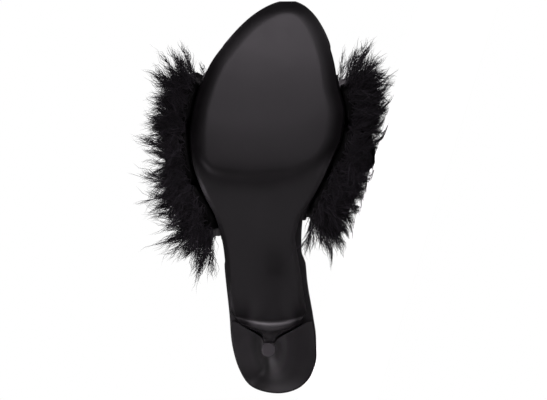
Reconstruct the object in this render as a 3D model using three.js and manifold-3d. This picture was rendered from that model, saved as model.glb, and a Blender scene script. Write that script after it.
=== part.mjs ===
// Heeled marabou slipper for the right foot: an open-toed mule with a feather-trimmed band.
// It is drawn in the shoe's own frame, in millimetres: x runs from heel to toe, y towards the
// big-toe side, z up from the ground it is worn on. The last group then lays it on its side.
import * as THREE from 'three';
import { mergeVertices } from 'three/addons/utils/BufferGeometryUtils.js';
import Module from 'manifold-3d';

const wasm = await Module();
wasm.setup();

// Driving sizes
const shoeLength = 231;
const ballWidth = 90.8;
const heelHeight = 50;
const toeSpring = 8;
const instepHeight = 64;
const gap = 0.3;
const curvedGap = 0.45;

const insoleThickness = 4.5;
const insoleEdgeRadius = 1.2;
const padThickness = 4;
const shankThickness = 2;
const flapThickness = 1.5;
const outsoleEdge = 1.5;
const outsoleInset = 0.8;
const rolledEdge = 6.5;
const padRearFade = 7;
const padRearCurve = 16;
const crestFillet = 6;

const bandWall = 1.6;
const lastingMargin = 8;

const tipDiameter = 8;
const topPieceHeight = 5;
const seatInset = 1;
const breastHollow = 3;
const breastFade = 24;

const featherReach = 22;
const lockReach = 12;
const lockRadius = 4.5;
const leanDegrees = 17;

// Insole outline: half widths as shares of the ball width at shares of the length
const outline = [
  { at: 0, lateral: -0.035, medial: 0.035 },
  { at: 0.02, lateral: 0.147, medial: 0.196 },
  { at: 0.05, lateral: 0.205, medial: 0.258 },
  { at: 0.1, lateral: 0.252, medial: 0.291 },
  { at: 0.15, lateral: 0.274, medial: 0.287 },
  { at: 0.2, lateral: 0.281, medial: 0.269 },
  { at: 0.3, lateral: 0.3, medial: 0.231 },
  { at: 0.38, lateral: 0.31, medial: 0.222 },
  { at: 0.46, lateral: 0.352, medial: 0.237 },
  { at: 0.52, lateral: 0.427, medial: 0.31 },
  { at: 0.6, lateral: 0.494, medial: 0.404 },
  { at: 0.66, lateral: 0.506, medial: 0.466 },
  { at: 0.72, lateral: 0.488, medial: 0.484 },
  { at: 0.78, lateral: 0.447, medial: 0.45 },
  { at: 0.84, lateral: 0.381, medial: 0.425 },
  { at: 0.9, lateral: 0.267, medial: 0.38 },
  { at: 0.95, lateral: 0.151, medial: 0.317 },
  { at: 0.98, lateral: 0.046, medial: 0.254 },
  { at: 1, lateral: -0.122, medial: 0.122 },
];

// Side profile of the bed, the insole's underside, at shares of the length: a seat that falls a
// little, a shank that runs down to the level tread, and a toe that lifts again
const seatFall = 0.07;
const seatFallEndAt = 0.26;
const shankStartAt = 0.117;
const shankEndAt = 0.62;
const toeLiftAt = 0.84;

// How far the outsole's big-toe edge stands in from the insole's, in millimetres
const waist = [
  { at: 0.2, inset: 3.4 },
  { at: 0.3, inset: 3 },
  { at: 0.36, inset: 4.2 },
  { at: 0.41, inset: 5.6 },
  { at: 0.46, inset: 4 },
  { at: 0.5, inset: 2 },
  { at: 0.55, inset: outsoleInset },
];

// Heel block: its spread from the tip to the seat at shares of its height, and the share of
// its width that the outsole's flap covers
const heelRings = [
  { at: 0, front: 0, back: 0, side: 0, flap: 0.7 },
  { at: 0.2, front: 0.09, back: 0.085, side: 0.028, flap: 0.75 },
  { at: 0.45, front: 0.22, back: 0.27, side: 0.09, flap: 0.75 },
  { at: 0.65, front: 0.36, back: 0.48, side: 0.235, flap: 0.72 },
  { at: 0.78, front: 0.56, back: 0.66, side: 0.45, flap: 0.8 },
  { at: 0.87, front: 0.8, back: 0.82, side: 0.69, flap: 0.9 },
  { at: 0.94, front: 0.98, back: 0.92, side: 0.87, flap: 0.97 },
  { at: 1, front: 1, back: 1, side: 1, flap: 1 },
];
const seatFrontAt = 0.192;
const seatMiddleAt = 0.12;
const tipAt = 0.13;

// Band over the foot: its rear and front edges around the foot, from the big-toe side over
// the top to the little-toe side, and the height of its ridge along the foot
const bandEdges = [
  { around: 0, rear: 0.45, front: 0.814 },
  { around: 0.25, rear: 0.46, front: 0.785 },
  { around: 0.5, rear: 0.476, front: 0.736 },
  { around: 0.75, rear: 0.43, front: 0.79 },
  { around: 1, rear: 0.4, front: 0.823 },
];
const ridge = [
  { at: 0.3, rise: 1.04 },
  { at: 0.36, rise: 1.04 },
  { at: 0.42, rise: 1.03 },
  { at: 0.476, rise: 1 },
  { at: 0.56, rise: 0.87 },
  { at: 0.65, rise: 0.73 },
  { at: 0.74, rise: 0.6 },
  { at: 0.82, rise: 0.49 },
  { at: 0.92, rise: 0.38 },
];
const archSquareness = 2.5;
const ridgeLean = 0.08;

// Reach of each row's feathers around the foot, as shares of the full reach
const fluff = [
  { around: 0, front: 1.12, middle: 1.18, rear: 1.06 },
  { around: 0.2, front: 1.15, middle: 1.22, rear: 1.12 },
  { around: 0.5, front: 0.88, middle: 0.88, rear: 0.9 },
  { around: 0.8, front: 0.84, middle: 0.84, rear: 1 },
  { around: 1, front: 0.8, middle: 0.8, rear: 1.08 },
];
// Below the band's edge a row rounds off: its size at distances under the edge
const rowEnd = [
  { below: 3.5, size: 0.9 },
  { below: 6.5, size: 0.55 },
];
const endClearance = 0.1;
// The three feather rows: the span of the band that each is sewn to, and how its locks fan,
// in degrees from the toe's direction up to the heel's, over the foot and at the row's ends
const featherRows = [
  { name: 'marabou_front', place: 'front', from: 2 / 3, to: 1, fan: [4, 42, 80],
    endFan: [10, 36, 62, 88, 114] },
  { name: 'marabou_middle', place: 'middle', from: 1 / 3, to: 2 / 3, fan: [66, 114],
    endFan: [56, 90, 124] },
  { name: 'marabou_rear', place: 'rear', from: 0, to: 1 / 3, fan: [100, 138, 176],
    endFan: [76, 100, 124, 148, 170] },
];

// Mesh density
const outlineSteps = 40;
const archSteps = 22;
const bandSteps = 10;
const acrossSteps = 10;
const lockSides = 5;
const featherSteps = 8;
const lockCount = 14;

const clamp = THREE.MathUtils.clamp;
const lerp = THREE.MathUtils.lerp;
const smoothstep = THREE.MathUtils.smoothstep;
const smootherstep = THREE.MathUtils.smootherstep;
const point = (x, y, z) => new THREE.Vector3(x, y, z);

// A smooth curve through the given values that never swings past them (monotone cubic)
function smoothCurve(xs, ys) {
  const last = xs.length - 1;
  const slopes = xs.slice(1).map((x, i) => (ys[i + 1] - ys[i]) / (x - xs[i]));
  const tangents = xs.map((x, i) => {
    if (i === 0) return slopes[0];
    if (i === last) return slopes[last - 1];
    if (slopes[i - 1] * slopes[i] <= 0) return 0;
    return 2 / (1 / slopes[i - 1] + 1 / slopes[i]);
  });
  return (x) => {
    let i = 0;
    while (i < last - 1 && x > xs[i + 1]) i += 1;
    const step = xs[i + 1] - xs[i];
    const u = clamp((x - xs[i]) / step, 0, 1);
    const rise = u * u * (3 - 2 * u);
    const leave = tangents[i] * u * (1 - u) * (1 - u);
    const arrive = tangents[i + 1] * u * u * (1 - u);
    return lerp(ys[i], ys[i + 1], rise) + step * (leave - arrive);
  };
}

function columnCurve(table, key, column, warp = (x) => x) {
  return smoothCurve(table.map((row) => warp(row[key])), table.map((row) => row[column]));
}

// Stations crowd towards heel and toe, so that an outline closes round there
const stationOf = (share) => Math.acos(1 - 2 * clamp(share, 0, 1)) / Math.PI;
const shareOf = (station) => (1 - Math.cos(Math.PI * station)) / 2;

const lateralCurve = columnCurve(outline, 'at', 'lateral', stationOf);
const medialCurve = columnCurve(outline, 'at', 'medial', stationOf);
const lateralHalf = (along) => ballWidth * lateralCurve(stationOf(along / shoeLength));
const medialHalf = (along) => ballWidth * medialCurve(stationOf(along / shoeLength));

// Height of the bed at a distance from the heel's back
const bedBase = padThickness + curvedGap;
function bedHeight(along) {
  const share = along / shoeLength;
  const fall = seatFall * smoothstep(share, 0, seatFallEndAt)
    + (1 - seatFall) * smootherstep(share, shankStartAt, shankEndAt);
  const lift = Math.max(0, share - toeLiftAt) / (1 - toeLiftAt);
  return bedBase + (heelHeight - bedBase) * (1 - fall) + toeSpring * lift * lift;
}
// A point on the bed, or a distance above it, square to its slope
function bedPoint(along, across, up) {
  const probe = 0.5;
  const rise = bedHeight(along + probe) - bedHeight(along - probe);
  const slope = Math.atan2(rise, 2 * probe);
  const height = bedHeight(along) + up * Math.cos(slope);
  return point(along - up * Math.sin(slope), across, height);
}

// Closed mesh from rings of points, each with as many points as the one before. An end ring is
// closed by a fan to a given point or to its 'middle', by a strip 'across' from its first half
// to its second, or by 'nothing' where it folds onto a line.
function skin(rings, start, end) {
  const count = rings[0].length;
  const vertices = rings.flat();
  const faces = [];
  for (let r = 0; r + 1 < rings.length; r += 1) {
    for (let j = 0; j < count; j += 1) {
      const a = r * count + j;
      const b = r * count + (j + 1) % count;
      faces.push([a, b, b + count], [a, b + count, a + count]);
    }
  }
  const close = (first, way, turned) => {
    if (way === 'nothing') return;
    const cap = way === 'across' ? stripCap(first, count) : fanCap(first, count, vertices, way);
    faces.push(...cap.map(([a, b, c]) => (turned ? [b, a, c] : [a, b, c])));
  };
  close(0, start, true);
  close((rings.length - 1) * count, end, false);
  return closedGeometry(vertices, faces);
}

function fanCap(first, count, vertices, way) {
  const centre = way.isVector3 ? way : point(0, 0, 0);
  if (way === 'middle') {
    vertices.slice(first, first + count).forEach((p) => centre.addScaledVector(p, 1 / count));
  }
  const hub = vertices.push(centre) - 1;
  return Array.from({ length: count }, (unused, j) => [first + j, first + (j + 1) % count, hub]);
}

function stripCap(first, count) {
  const cap = [];
  for (let j = 0; j + 1 < count / 2; j += 1) {
    const near = first + j;
    const far = first + count - 1 - j;
    cap.push([near, near + 1, far], [near + 1, far - 1, far]);
  }
  return cap;
}

// Merges shared points, drops faces that fold to nothing and points every face outwards
function closedGeometry(vertices, faces) {
  let shape = new THREE.BufferGeometry();
  const positions = vertices.flatMap((p) => [p.x, p.y, p.z]);
  shape.setAttribute('position', new THREE.Float32BufferAttribute(positions, 3));
  shape.setIndex(faces.flat());
  shape = mergeVertices(shape, 1e-4);
  const index = shape.getIndex().array;
  const kept = [];
  for (let i = 0; i < index.length; i += 3) {
    const [a, b, c] = index.slice(i, i + 3);
    if (a !== b && b !== c && c !== a) kept.push(a, b, c);
  }
  if (signedVolume(shape, kept) < 0) kept.reverse();
  shape.setIndex(kept);
  return shape;
}

function signedVolume(shape, index) {
  const position = shape.getAttribute('position');
  const corner = (i) => point(0, 0, 0).fromBufferAttribute(position, index[i]);
  let volume = 0;
  for (let i = 0; i < index.length; i += 3) {
    volume += corner(i).dot(corner(i + 1).cross(corner(i + 2))) / 6;
  }
  return volume;
}

// Insole outline as a loop of plan points, from the heel's back round the little-toe side
function outlineLoop(steps) {
  const loop = [];
  for (let j = 0; j < 2 * steps; j += 1) {
    const station = j <= steps ? j / steps : 2 - j / steps;
    const along = shoeLength * shareOf(station);
    const across = j <= steps
      ? -ballWidth * lateralCurve(station)
      : ballWidth * medialCurve(station);
    loop.push(new THREE.Vector2(along, across));
  }
  return loop;
}

// Moves a loop's points inwards; the inset may be a number or a function of the point
function insetLoop(loop, inset) {
  const count = loop.length;
  return loop.map((p, j) => {
    const before = loop[(j + count - 1) % count];
    const after = loop[(j + 1) % count];
    const run = after.clone().sub(before).normalize();
    const distance = typeof inset === 'function' ? inset(p) : inset;
    return new THREE.Vector2(p.x - run.y * distance, p.y + run.x * distance);
  });
}

const rimLoop = outlineLoop(outlineSteps);

// Middle line that both sides of a plate run in to, short of the heel and toe
const spineStart = 0.12;
const spineEnd = 0.87;
function spineLoop(loop) {
  const count = loop.length;
  return loop.map((p, j) => {
    const partner = loop[(count - j) % count];
    const middle = p.clone().add(partner).multiplyScalar(0.5);
    const share = lerp(spineStart, spineEnd, middle.x / shoeLength);
    const along = share * shoeLength;
    return new THREE.Vector2(along, (medialHalf(along) - lateralHalf(along)) / 2);
  });
}

const onBed = (loop, up) => loop.map((p) => {
  const height = typeof up === 'function' ? up(p) : up;
  return bedPoint(p.x, p.y, height);
});

// 1 along the band's hold on the sole, 0 away from it
const holdLead = 8;
const holdFade = 8;
const rearmost = Math.min(...bandEdges.map((row) => row.rear)) * shoeLength;
const foremost = Math.max(...bandEdges.map((row) => row.front)) * shoeLength;
function bandHold(p) {
  const behind = smoothstep(p.x, rearmost - holdLead - holdFade, rearmost - holdLead);
  const ahead = smoothstep(p.x, foremost + holdLead, foremost + holdLead + holdFade);
  return behind * (1 - ahead);
}

// Insole: a padded plate with a round rim, rebated underneath where the band is turned in
function insole() {
  const rebate = (p) => (bandWall + curvedGap) * bandHold(p);
  const stepFace = 0.6;
  const top = insoleThickness;
  const soft = insoleEdgeRadius;
  const inset = (distance) => insetLoop(rimLoop, (p) => rebate(p) + distance);
  const stepLoop = insetLoop(rimLoop, lastingMargin + curvedGap);
  const innerLoop = insetLoop(rimLoop, lastingMargin + curvedGap + stepFace);
  const spine = spineLoop(rimLoop);
  const halfway = innerLoop.map((p, j) => p.clone().lerp(spine[j], 0.5));
  return skin([
    onBed(spine, 0),
    onBed(halfway, 0),
    onBed(innerLoop, 0),
    onBed(stepLoop, rebate),
    onBed(inset(0.5 * soft), rebate),
    onBed(inset(0), (p) => rebate(p) + 0.5 * soft),
    onBed(inset(0), top - soft),
    onBed(inset(0.3 * soft), top - 0.3 * soft),
    onBed(inset(soft), top),
    onBed(halfway, top),
    onBed(spine, top),
  ], 'nothing', 'nothing');
}

// Heel block: rings that run from the small tip out to the seat under the insole
const tipRadius = tipDiameter / 2;
const tipAlong = tipAt * shoeLength;
const tipTop = topPieceHeight + gap;
const seatFront = seatFrontAt * shoeLength;
const seatMiddle = seatMiddleAt * shoeLength;
const seatSteps = 12;
const breastSteps = 6;

function seatLoop() {
  const loop = [];
  for (let j = -seatSteps; j <= seatSteps; j += 1) {
    const along = seatFront * (1 - Math.cos((Math.PI / 2) * (j / seatSteps)));
    const across = j <= 0 ? -lateralHalf(along) : medialHalf(along);
    loop.push(new THREE.Vector2(along, across));
  }
  const first = loop[0];
  const last = loop[loop.length - 1];
  for (let j = 1; j < breastSteps; j += 1) {
    loop.push(last.clone().lerp(first, j / breastSteps));
  }
  return insetLoop(loop.reverse(), seatInset).reverse();
}

function tipPoint(seat) {
  const squareness = seat.x > seatMiddle ? 3 : 2;
  const reach = seat.x > seatMiddle ? seatFront - seatMiddle : seatMiddle;
  const half = seat.y > 0 ? medialHalf(seatMiddle) : lateralHalf(seatMiddle);
  const angle = Math.atan2(seat.y / half, (seat.x - seatMiddle) / reach);
  const round = (value) => Math.sign(value) * Math.abs(value) ** (2 / squareness);
  return new THREE.Vector2(
    tipAlong + tipRadius * round(Math.cos(angle)),
    tipRadius * round(Math.sin(angle)),
  );
}

const spread = {
  front: columnCurve(heelRings, 'at', 'front'),
  back: columnCurve(heelRings, 'at', 'back'),
  side: columnCurve(heelRings, 'at', 'side'),
  flap: columnCurve(heelRings, 'at', 'flap'),
};

// Half width of the breast on the side that a point lies on
function breastHalf(side, level) {
  const half = side > 0 ? medialHalf : lateralHalf;
  return lerp(tipRadius, half(seatFront) - seatInset, spread.side(level));
}

// The breast is hollow from side to side: how far it stands back at a share of its half width
const hollowAt = (share) => 1 - clamp(share, -1, 1) ** 2;

function heelPoint(seat, tip, level) {
  const reach = seat.x > seatMiddle ? spread.front(level) : spread.back(level);
  const across = lerp(tip.y, seat.y, spread.side(level));
  const onBreast = seat.x > seatFront - 1.5 * seatInset;
  const depth = onBreast ? breastHollow * spread.front(level) : 0;
  const along = lerp(tip.x, seat.x, reach) - depth * hollowAt(across / breastHalf(across, level));
  const seatHeight = bedHeight(seat.x) - curvedGap;
  return point(along, across, lerp(tipTop, seatHeight, level));
}

function heel() {
  const seat = seatLoop();
  const tips = seat.map(tipPoint);
  const levels = [0, 0.12, 0.25, 0.4, 0.54, 0.65, 0.73, 0.8, 0.85, 0.9, 0.95, 1];
  const rings = levels.map((level) => seat.map((p, j) => heelPoint(p, tips[j], level)));
  const middle = new THREE.Vector2(seatMiddle, 0);
  [0.35, 0.7].forEach((share) => {
    const inner = seat.map((p) => p.clone().lerp(middle, share));
    rings.push(inner.map((p) => point(p.x, p.y, bedHeight(p.x) - curvedGap)));
  });
  return skin(rings, 'middle', 'middle');
}

function topPiece() {
  const round = 0.6;
  const radius = tipRadius;
  const shape = new THREE.LatheGeometry([
    new THREE.Vector2(0, 0),
    new THREE.Vector2(radius - round, 0),
    new THREE.Vector2(radius, round),
    new THREE.Vector2(radius, topPieceHeight),
    new THREE.Vector2(0, topPieceHeight),
  ], 20);
  shape.rotateX(Math.PI / 2);
  shape.translate(tipAlong, 0, 0);
  return shape;
}

// Outsole: one leather sheet from the toe to the breast of the heel, and down it as a flap
const waistCurve = columnCurve(waist, 'at', 'inset');
const flapLevels = [0.01, 0.1, 0.2, 0.3, 0.4, 0.5, 0.6, 0.67, 0.73, 0.78, 0.82, 0.86];
const crestHollow = breastHollow * spread.front(flapLevels[flapLevels.length - 1]);
const sheetStart = seatFront + crestFillet;
const turnSteps = 7;
const soleSteps = 25;
const toeStation = 0.985;

function flapStation(level) {
  const tipFront = tipAlong + tipRadius;
  const along = lerp(tipFront, seatFront - seatInset, spread.front(level));
  const seatHeight = bedHeight(seatFront) - curvedGap;
  const cover = spread.flap(level);
  return {
    along: along + curvedGap,
    height: lerp(tipTop, seatHeight, level),
    lateral: cover * breastHalf(-1, level),
    medial: cover * breastHalf(1, level),
    thickness: flapThickness,
    cover,
    hollow: breastHollow * spread.front(level),
  };
}

function soleStation(share) {
  const along = lerp(0, shoeLength - outsoleInset, share);
  const onTop = bedPoint(along, 0, -curvedGap);
  return {
    along: onTop.x,
    height: onTop.z,
    lateral: Math.max(lateralHalf(along) - outsoleInset, -medialHalf(along) + 2 * outsoleInset),
    medial: medialHalf(along) - waistCurve(share),
    thickness: shankThickness,
    cover: 1,
    hollow: crestHollow * (1 - smoothstep(along, sheetStart, sheetStart + breastFade)),
  };
}

function outsoleStations() {
  const stations = flapLevels.map(flapStation);
  const foot = stations[stations.length - 1];
  const below = stations[stations.length - 2];
  const head = soleStation(sheetStart / shoeLength);
  const crest = crestPoint(foot, below);
  const turn = new THREE.QuadraticBezierCurve(
    new THREE.Vector2(foot.along, foot.height), crest, new THREE.Vector2(head.along, head.height),
  );
  for (let i = 1; i < turnSteps; i += 1) {
    const u = i / turnSteps;
    const spot = turn.getPoint(u);
    stations.push({
      along: spot.x,
      height: spot.y,
      lateral: lerp(foot.lateral, head.lateral, Math.sqrt(u)),
      medial: lerp(foot.medial, head.medial, Math.sqrt(u)),
      thickness: lerp(flapThickness, shankThickness, u),
      cover: lerp(foot.cover, 1, u),
      hollow: foot.hollow,
    });
  }
  const firstStation = stationOf(sheetStart / shoeLength);
  for (let i = 0; i <= soleSteps; i += 1) {
    stations.push(soleStation(shareOf(lerp(firstStation, toeStation, i / soleSteps))));
  }
  return stations;
}

// Where the line up the breast meets the underside of the bed
function crestPoint(foot, below) {
  const slant = (foot.along - below.along) / (foot.height - below.height);
  const along = foot.along + slant * (bedHeight(foot.along) - foot.height);
  return new THREE.Vector2(along, bedPoint(along, 0, -curvedGap).z);
}

// Distance in plan from a point to the nearest stretch of the insole's outline
function rimDistance(along, across) {
  const spot = point(along, across, 0);
  const nearest = point(0, 0, 0);
  const stretch = new THREE.Line3();
  let best = Infinity;
  rimLoop.forEach((p, j) => {
    const q = rimLoop[(j + 1) % rimLoop.length];
    stretch.set(point(p.x, p.y, 0), point(q.x, q.y, 0));
    stretch.closestPointToPoint(spot, true, nearest);
    best = Math.min(best, nearest.distanceTo(spot));
  });
  return best;
}

// The forefoot pad stands proud of the thin sheet, with a rolled edge and a curved rear end
const padRearAt = 0.56;
function sheetThickness(station, across) {
  const edge = across > 0 ? station.medial - across : station.lateral + across;
  const distance = Math.max(0, Math.min(edge, rimDistance(station.along, across) - outsoleInset));
  const thinEdge = smoothstep(distance, 0, 2 * outsoleEdge);
  const roll = clamp(distance / rolledEdge, 0, 1);
  const rolled = Math.sqrt(1 - (1 - roll) ** 2);
  const rear = padRearAt * shoeLength + padRearCurve * (2 * across / ballWidth) ** 2;
  const padded = rolled * smoothstep(station.along, rear - padRearFade / 2, rear + padRearFade / 2);
  const sheet = lerp(Math.min(outsoleEdge, station.thickness), station.thickness, thinEdge);
  return sheet + (padThickness - shankThickness) * padded;
}

function outsole() {
  const stations = outsoleStations();
  const rings = stations.map((station, i) => {
    const before = stations[Math.max(i - 1, 0)];
    const after = stations[Math.min(i + 1, stations.length - 1)];
    const run = new THREE.Vector2(after.along - before.along, after.height - before.height);
    run.normalize();
    const top = [];
    const under = [];
    for (let k = 0; k <= acrossSteps; k += 1) {
      const share = (1 - Math.cos(Math.PI * k / acrossSteps)) / 2;
      const across = lerp(-station.lateral, station.medial, share);
      const thickness = sheetThickness(station, across);
      const half = across > 0 ? station.medial : station.lateral;
      const along = station.along - station.hollow * hollowAt(station.cover * across / half);
      top.push(point(along, across, station.height));
      under.push(point(along + run.y * thickness, across, station.height - run.x * thickness));
    }
    return [...top, ...under.reverse()];
  });
  return skin(rings, 'across', 'across');
}

// Outer face of the band, and of the foot before and behind it. Around runs from 0 at the
// big-toe edge of the sole over the instep to 1 at the little-toe edge.
const ridgeCurve = columnCurve(ridge, 'at', 'rise');
const bandCorner = bandWall + 0.5;
function archPoint(along, around) {
  const power = 2 / archSquareness;
  const turn = Math.PI * clamp(around, 0, 1);
  const sideways = Math.sign(Math.cos(turn)) * Math.abs(Math.cos(turn)) ** power;
  const lift = Math.abs(Math.sin(turn)) ** power;
  const middle = (medialHalf(along) - lateralHalf(along)) / 2;
  const half = (medialHalf(along) + lateralHalf(along)) / 2;
  const across = middle + half * (sideways + ridgeLean * lift * (1 - Math.abs(sideways)));
  const rise = instepHeight * ridgeCurve(along / shoeLength) * lift;
  return bedPoint(along, across, bandCorner).add(point(0, 0, rise));
}

// Directions on that face: along the foot, around it, and straight out
function archFrame(along, around) {
  const step = 0.01;
  const low = Math.max(around - step, 0);
  const high = Math.min(around + step, 1);
  const forward = archPoint(along + 1, around).sub(archPoint(along - 1, around)).normalize();
  const over = archPoint(along, high).sub(archPoint(along, low)).normalize();
  const out = over.clone().cross(forward).normalize();
  return { forward, over, out };
}

const rearCurve = columnCurve(bandEdges, 'around', 'rear');
const frontCurve = columnCurve(bandEdges, 'around', 'front');
const bandAlong = (around, share) => (
  shoeLength * lerp(rearCurve(around), frontCurve(around), share)
);

// Band: an arch with a real wall, its two lower edges turned in between insole and outsole
function upper() {
  const turnIn = (along, side, reach, up) => {
    const half = side > 0 ? medialHalf : lateralHalf;
    const inward = new THREE.Vector2(half(along + 0.5) - half(along - 0.5), -1).normalize();
    return bedPoint(along + reach * inward.x, side * (half(along) + reach * inward.y), up);
  };
  const outerFold = [[lastingMargin, 0], [bandCorner, 0], [0.25 * bandCorner, 0.25 * bandCorner]];
  const innerFold = [[lastingMargin, bandWall], [bandCorner + 0.4, bandWall],
    [bandWall + 0.2, bandWall + 0.3]];
  const section = (share, depth, fold) => {
    const medialAlong = bandAlong(0, share);
    const lateralAlong = bandAlong(1, share);
    const line = fold.map(([reach, up]) => turnIn(medialAlong, 1, reach, up));
    for (let i = 0; i <= archSteps; i += 1) {
      const around = i / archSteps;
      const along = bandAlong(around, share);
      const { out } = archFrame(along, around);
      line.push(archPoint(along, around).addScaledVector(out, -depth));
    }
    line.push(...[...fold].reverse().map(([reach, up]) => turnIn(lateralAlong, -1, reach, up)));
    return line;
  };
  const rings = [];
  for (let i = 0; i <= bandSteps; i += 1) {
    const share = i / bandSteps;
    rings.push([
      ...section(share, 0, outerFold), ...section(share, bandWall, innerFold).reverse(),
    ]);
  }
  return skin(rings, 'across', 'across');
}

// Solids that are joined or cut
function toSolid(geometry) {
  const bare = geometry.clone();
  bare.deleteAttribute('normal');
  bare.deleteAttribute('uv');
  const merged = mergeVertices(bare, 1e-4);
  return new wasm.Manifold(new wasm.Mesh({
    numProp: 3,
    vertProperties: new Float32Array(merged.getAttribute('position').array),
    triVerts: new Uint32Array(merged.getIndex().array),
  }));
}

function toGeometry(solid) {
  const mesh = solid.getMesh();
  const geometry = new THREE.BufferGeometry();
  geometry.setAttribute('position', new THREE.BufferAttribute(mesh.vertProperties, 3));
  geometry.setIndex(new THREE.BufferAttribute(mesh.triVerts, 1));
  return geometry;
}

// Cuts away all of a solid that lies behind a plane
function cutBehind(solid, normal, distance) {
  const size = 3 * shoeLength;
  const block = new THREE.BoxGeometry(size, size, size);
  block.translate(0, 0, -size / 2);
  block.applyQuaternion(new THREE.Quaternion().setFromUnitVectors(point(0, 0, 1), normal));
  block.translate(normal.x * distance, normal.y * distance, normal.z * distance);
  return solid.subtract(toSolid(block));
}

// Way up, in the shoe's frame, when it lies on its big-toe side, and the floor's distance
// along it: the floor touches the rim of the insole's heel
const lean = THREE.MathUtils.degToRad(leanDegrees);
const wayUp = point(Math.sin(lean), -Math.cos(lean), 0);
function floorDistance(geometry) {
  const position = geometry.getAttribute('position');
  let lowest = Infinity;
  for (let i = 0; i < position.count; i += 1) {
    lowest = Math.min(lowest, point(0, 0, 0).fromBufferAttribute(position, i).dot(wayUp));
  }
  return lowest;
}

// How the locks vary: swing in degrees, least and most length beyond the core as shares of
// their reach, bend, tilt along the row, and how far those at a row's ends point down
const lockSwing = 22;
const lockShort = 0.35;
const lockLong = 1.1;
const lockDroop = 4;
const lockTilt = 0.5;
const endTilt = 0.5;
const endSeed = 200;

// Even scatter between 0 and 1, the same on every run
const scatter = (seed) => {
  const value = Math.sin(seed * 12.9898) * 43758.5453;
  return value - Math.floor(value);
};

// A feather row's cross-section is a circle that the band cuts flat: its middle stands off the
// band by a share of its reach, and its foot covers the row's span of the band
const reachCurves = {
  front: columnCurve(fluff, 'around', 'front'),
  middle: columnCurve(fluff, 'around', 'middle'),
  rear: columnCurve(fluff, 'around', 'rear'),
};
const middleShare = 0.4;
const footAngle = Math.asin(middleShare / (1 - middleShare));
function rowSection(row, around) {
  const reach = featherReach * reachCurves[row.place](around);
  const rear = bandAlong(around, row.from);
  const front = bandAlong(around, row.to);
  return {
    along: (rear + front) / 2,
    halfLength: (front - rear) / 2 / Math.cos(footAngle),
    middle: middleShare * reach,
    radius: (1 - middleShare) * reach,
  };
}

// One ring of a row's dense middle, at a place around the foot or a distance under its end
function coreRing(row, around, size, below) {
  const section = rowSection(row, around);
  const { over, out } = archFrame(section.along, around);
  const drop = over.multiplyScalar(around > 0.5 ? below : -below);
  const place = (along, off) => (
    archPoint(section.along + size * along, around)
      .addScaledVector(out, curvedGap + size * off + endClearance * below)
      .add(drop)
  );
  const ring = [];
  for (let k = 0; k <= featherSteps; k += 1) {
    const angle = lerp(-footAngle, Math.PI + footAngle, k / featherSteps);
    const off = section.middle + section.radius * Math.sin(angle);
    ring.push(place(section.halfLength * Math.cos(angle), off));
  }
  const foot = section.halfLength * Math.cos(footAngle);
  ring.push(place(-0.5 * foot, 0), place(0, 0), place(0.5 * foot, 0));
  return ring;
}

function featherCore(row) {
  const ends = (around) => rowEnd.map(({ below, size }) => coreRing(row, around, size, below));
  const rings = ends(0).reverse();
  for (let i = 0; i <= archSteps; i += 1) {
    rings.push(coreRing(row, i / archSteps, 1, 0));
  }
  rings.push(...ends(1));
  return skin(rings, 'middle', 'middle');
}

// One lock: a slim bent cone from inside the row to its tip
function featherLock(root, tip, droop) {
  const axis = tip.clone().sub(root).normalize();
  const turn = new THREE.Quaternion().setFromUnitVectors(point(0, 0, 1), axis);
  const ring = (share, radius) => {
    const centre = root.clone().lerp(tip, share).addScaledVector(droop, share * (1 - share));
    return Array.from({ length: lockSides }, (unused, k) => {
      const angle = 2 * Math.PI * k / lockSides;
      const spoke = point(radius * Math.cos(angle), radius * Math.sin(angle), 0);
      return spoke.applyQuaternion(turn).add(centre);
    });
  };
  return skin([ring(0, 0.8 * lockRadius), ring(0.5, lockRadius)], 'middle', tip);
}

// A lock at a place around the foot: its root in the row's middle, its tip and its bend
function placedLock(row, degrees, around, seed) {
  const section = rowSection(row, around);
  const { forward, over, out } = archFrame(section.along, around);
  const angle = THREE.MathUtils.degToRad(degrees + lockSwing * (scatter(seed + 7) - 0.5));
  const core = 1 / Math.hypot(
    Math.cos(angle) / section.halfLength, Math.sin(angle) / section.radius,
  );
  const length = core + lockReach * lerp(lockShort, lockLong, scatter(seed + 13));
  const sway = lockTilt * (scatter(seed + 19) - 0.5) + endTilt * (2 * around - 1) ** 3;
  const direction = point(0, 0, 0)
    .addScaledVector(forward, Math.cos(angle))
    .addScaledVector(out, Math.max(Math.sin(angle), 0.2))
    .addScaledVector(over, sway)
    .normalize();
  const root = archPoint(section.along, around)
    .addScaledVector(out, curvedGap + section.middle);
  const tip = root.clone().addScaledVector(direction, length);
  return featherLock(root, tip, out.multiplyScalar(lockDroop));
}

function featherRow(row, floor) {
  let solid = toSolid(featherCore(row));
  row.fan.forEach((degrees, line) => {
    for (let i = 0; i < lockCount; i += 1) {
      const seed = 1 + i + 31 * line + 101 * row.from;
      const around = (i + 0.25 + 0.5 * scatter(seed)) / lockCount;
      solid = solid.add(toSolid(placedLock(row, degrees, around, seed)));
    }
  });
  row.endFan.forEach((degrees, i) => {
    [0, 1].forEach((around) => {
      const seed = endSeed + i + row.endFan.length * around;
      solid = solid.add(toSolid(placedLock(row, degrees, around, seed)));
    });
  });
  [[row.from, 1], [row.to, -1]].forEach(([share, side]) => {
    if (share <= 0 || share >= 1) return;
    const [a, b, c] = [0, 0.5, 1].map((around) => archPoint(bandAlong(around, share), around));
    const plane = new THREE.Plane().setFromCoplanarPoints(a, b, c);
    const normal = plane.normal.multiplyScalar(side * Math.sign(plane.normal.x));
    solid = cutBehind(solid, normal, normal.dot(a) + gap / 2);
  });
  solid = cutBehind(solid, point(0, 0, 1), gap);
  solid = cutBehind(solid, wayUp, floor);
  const pieces = solid.decompose();
  return toGeometry(pieces.reduce((best, piece) => (piece.volume() > best.volume() ? piece : best)));
}

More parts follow.
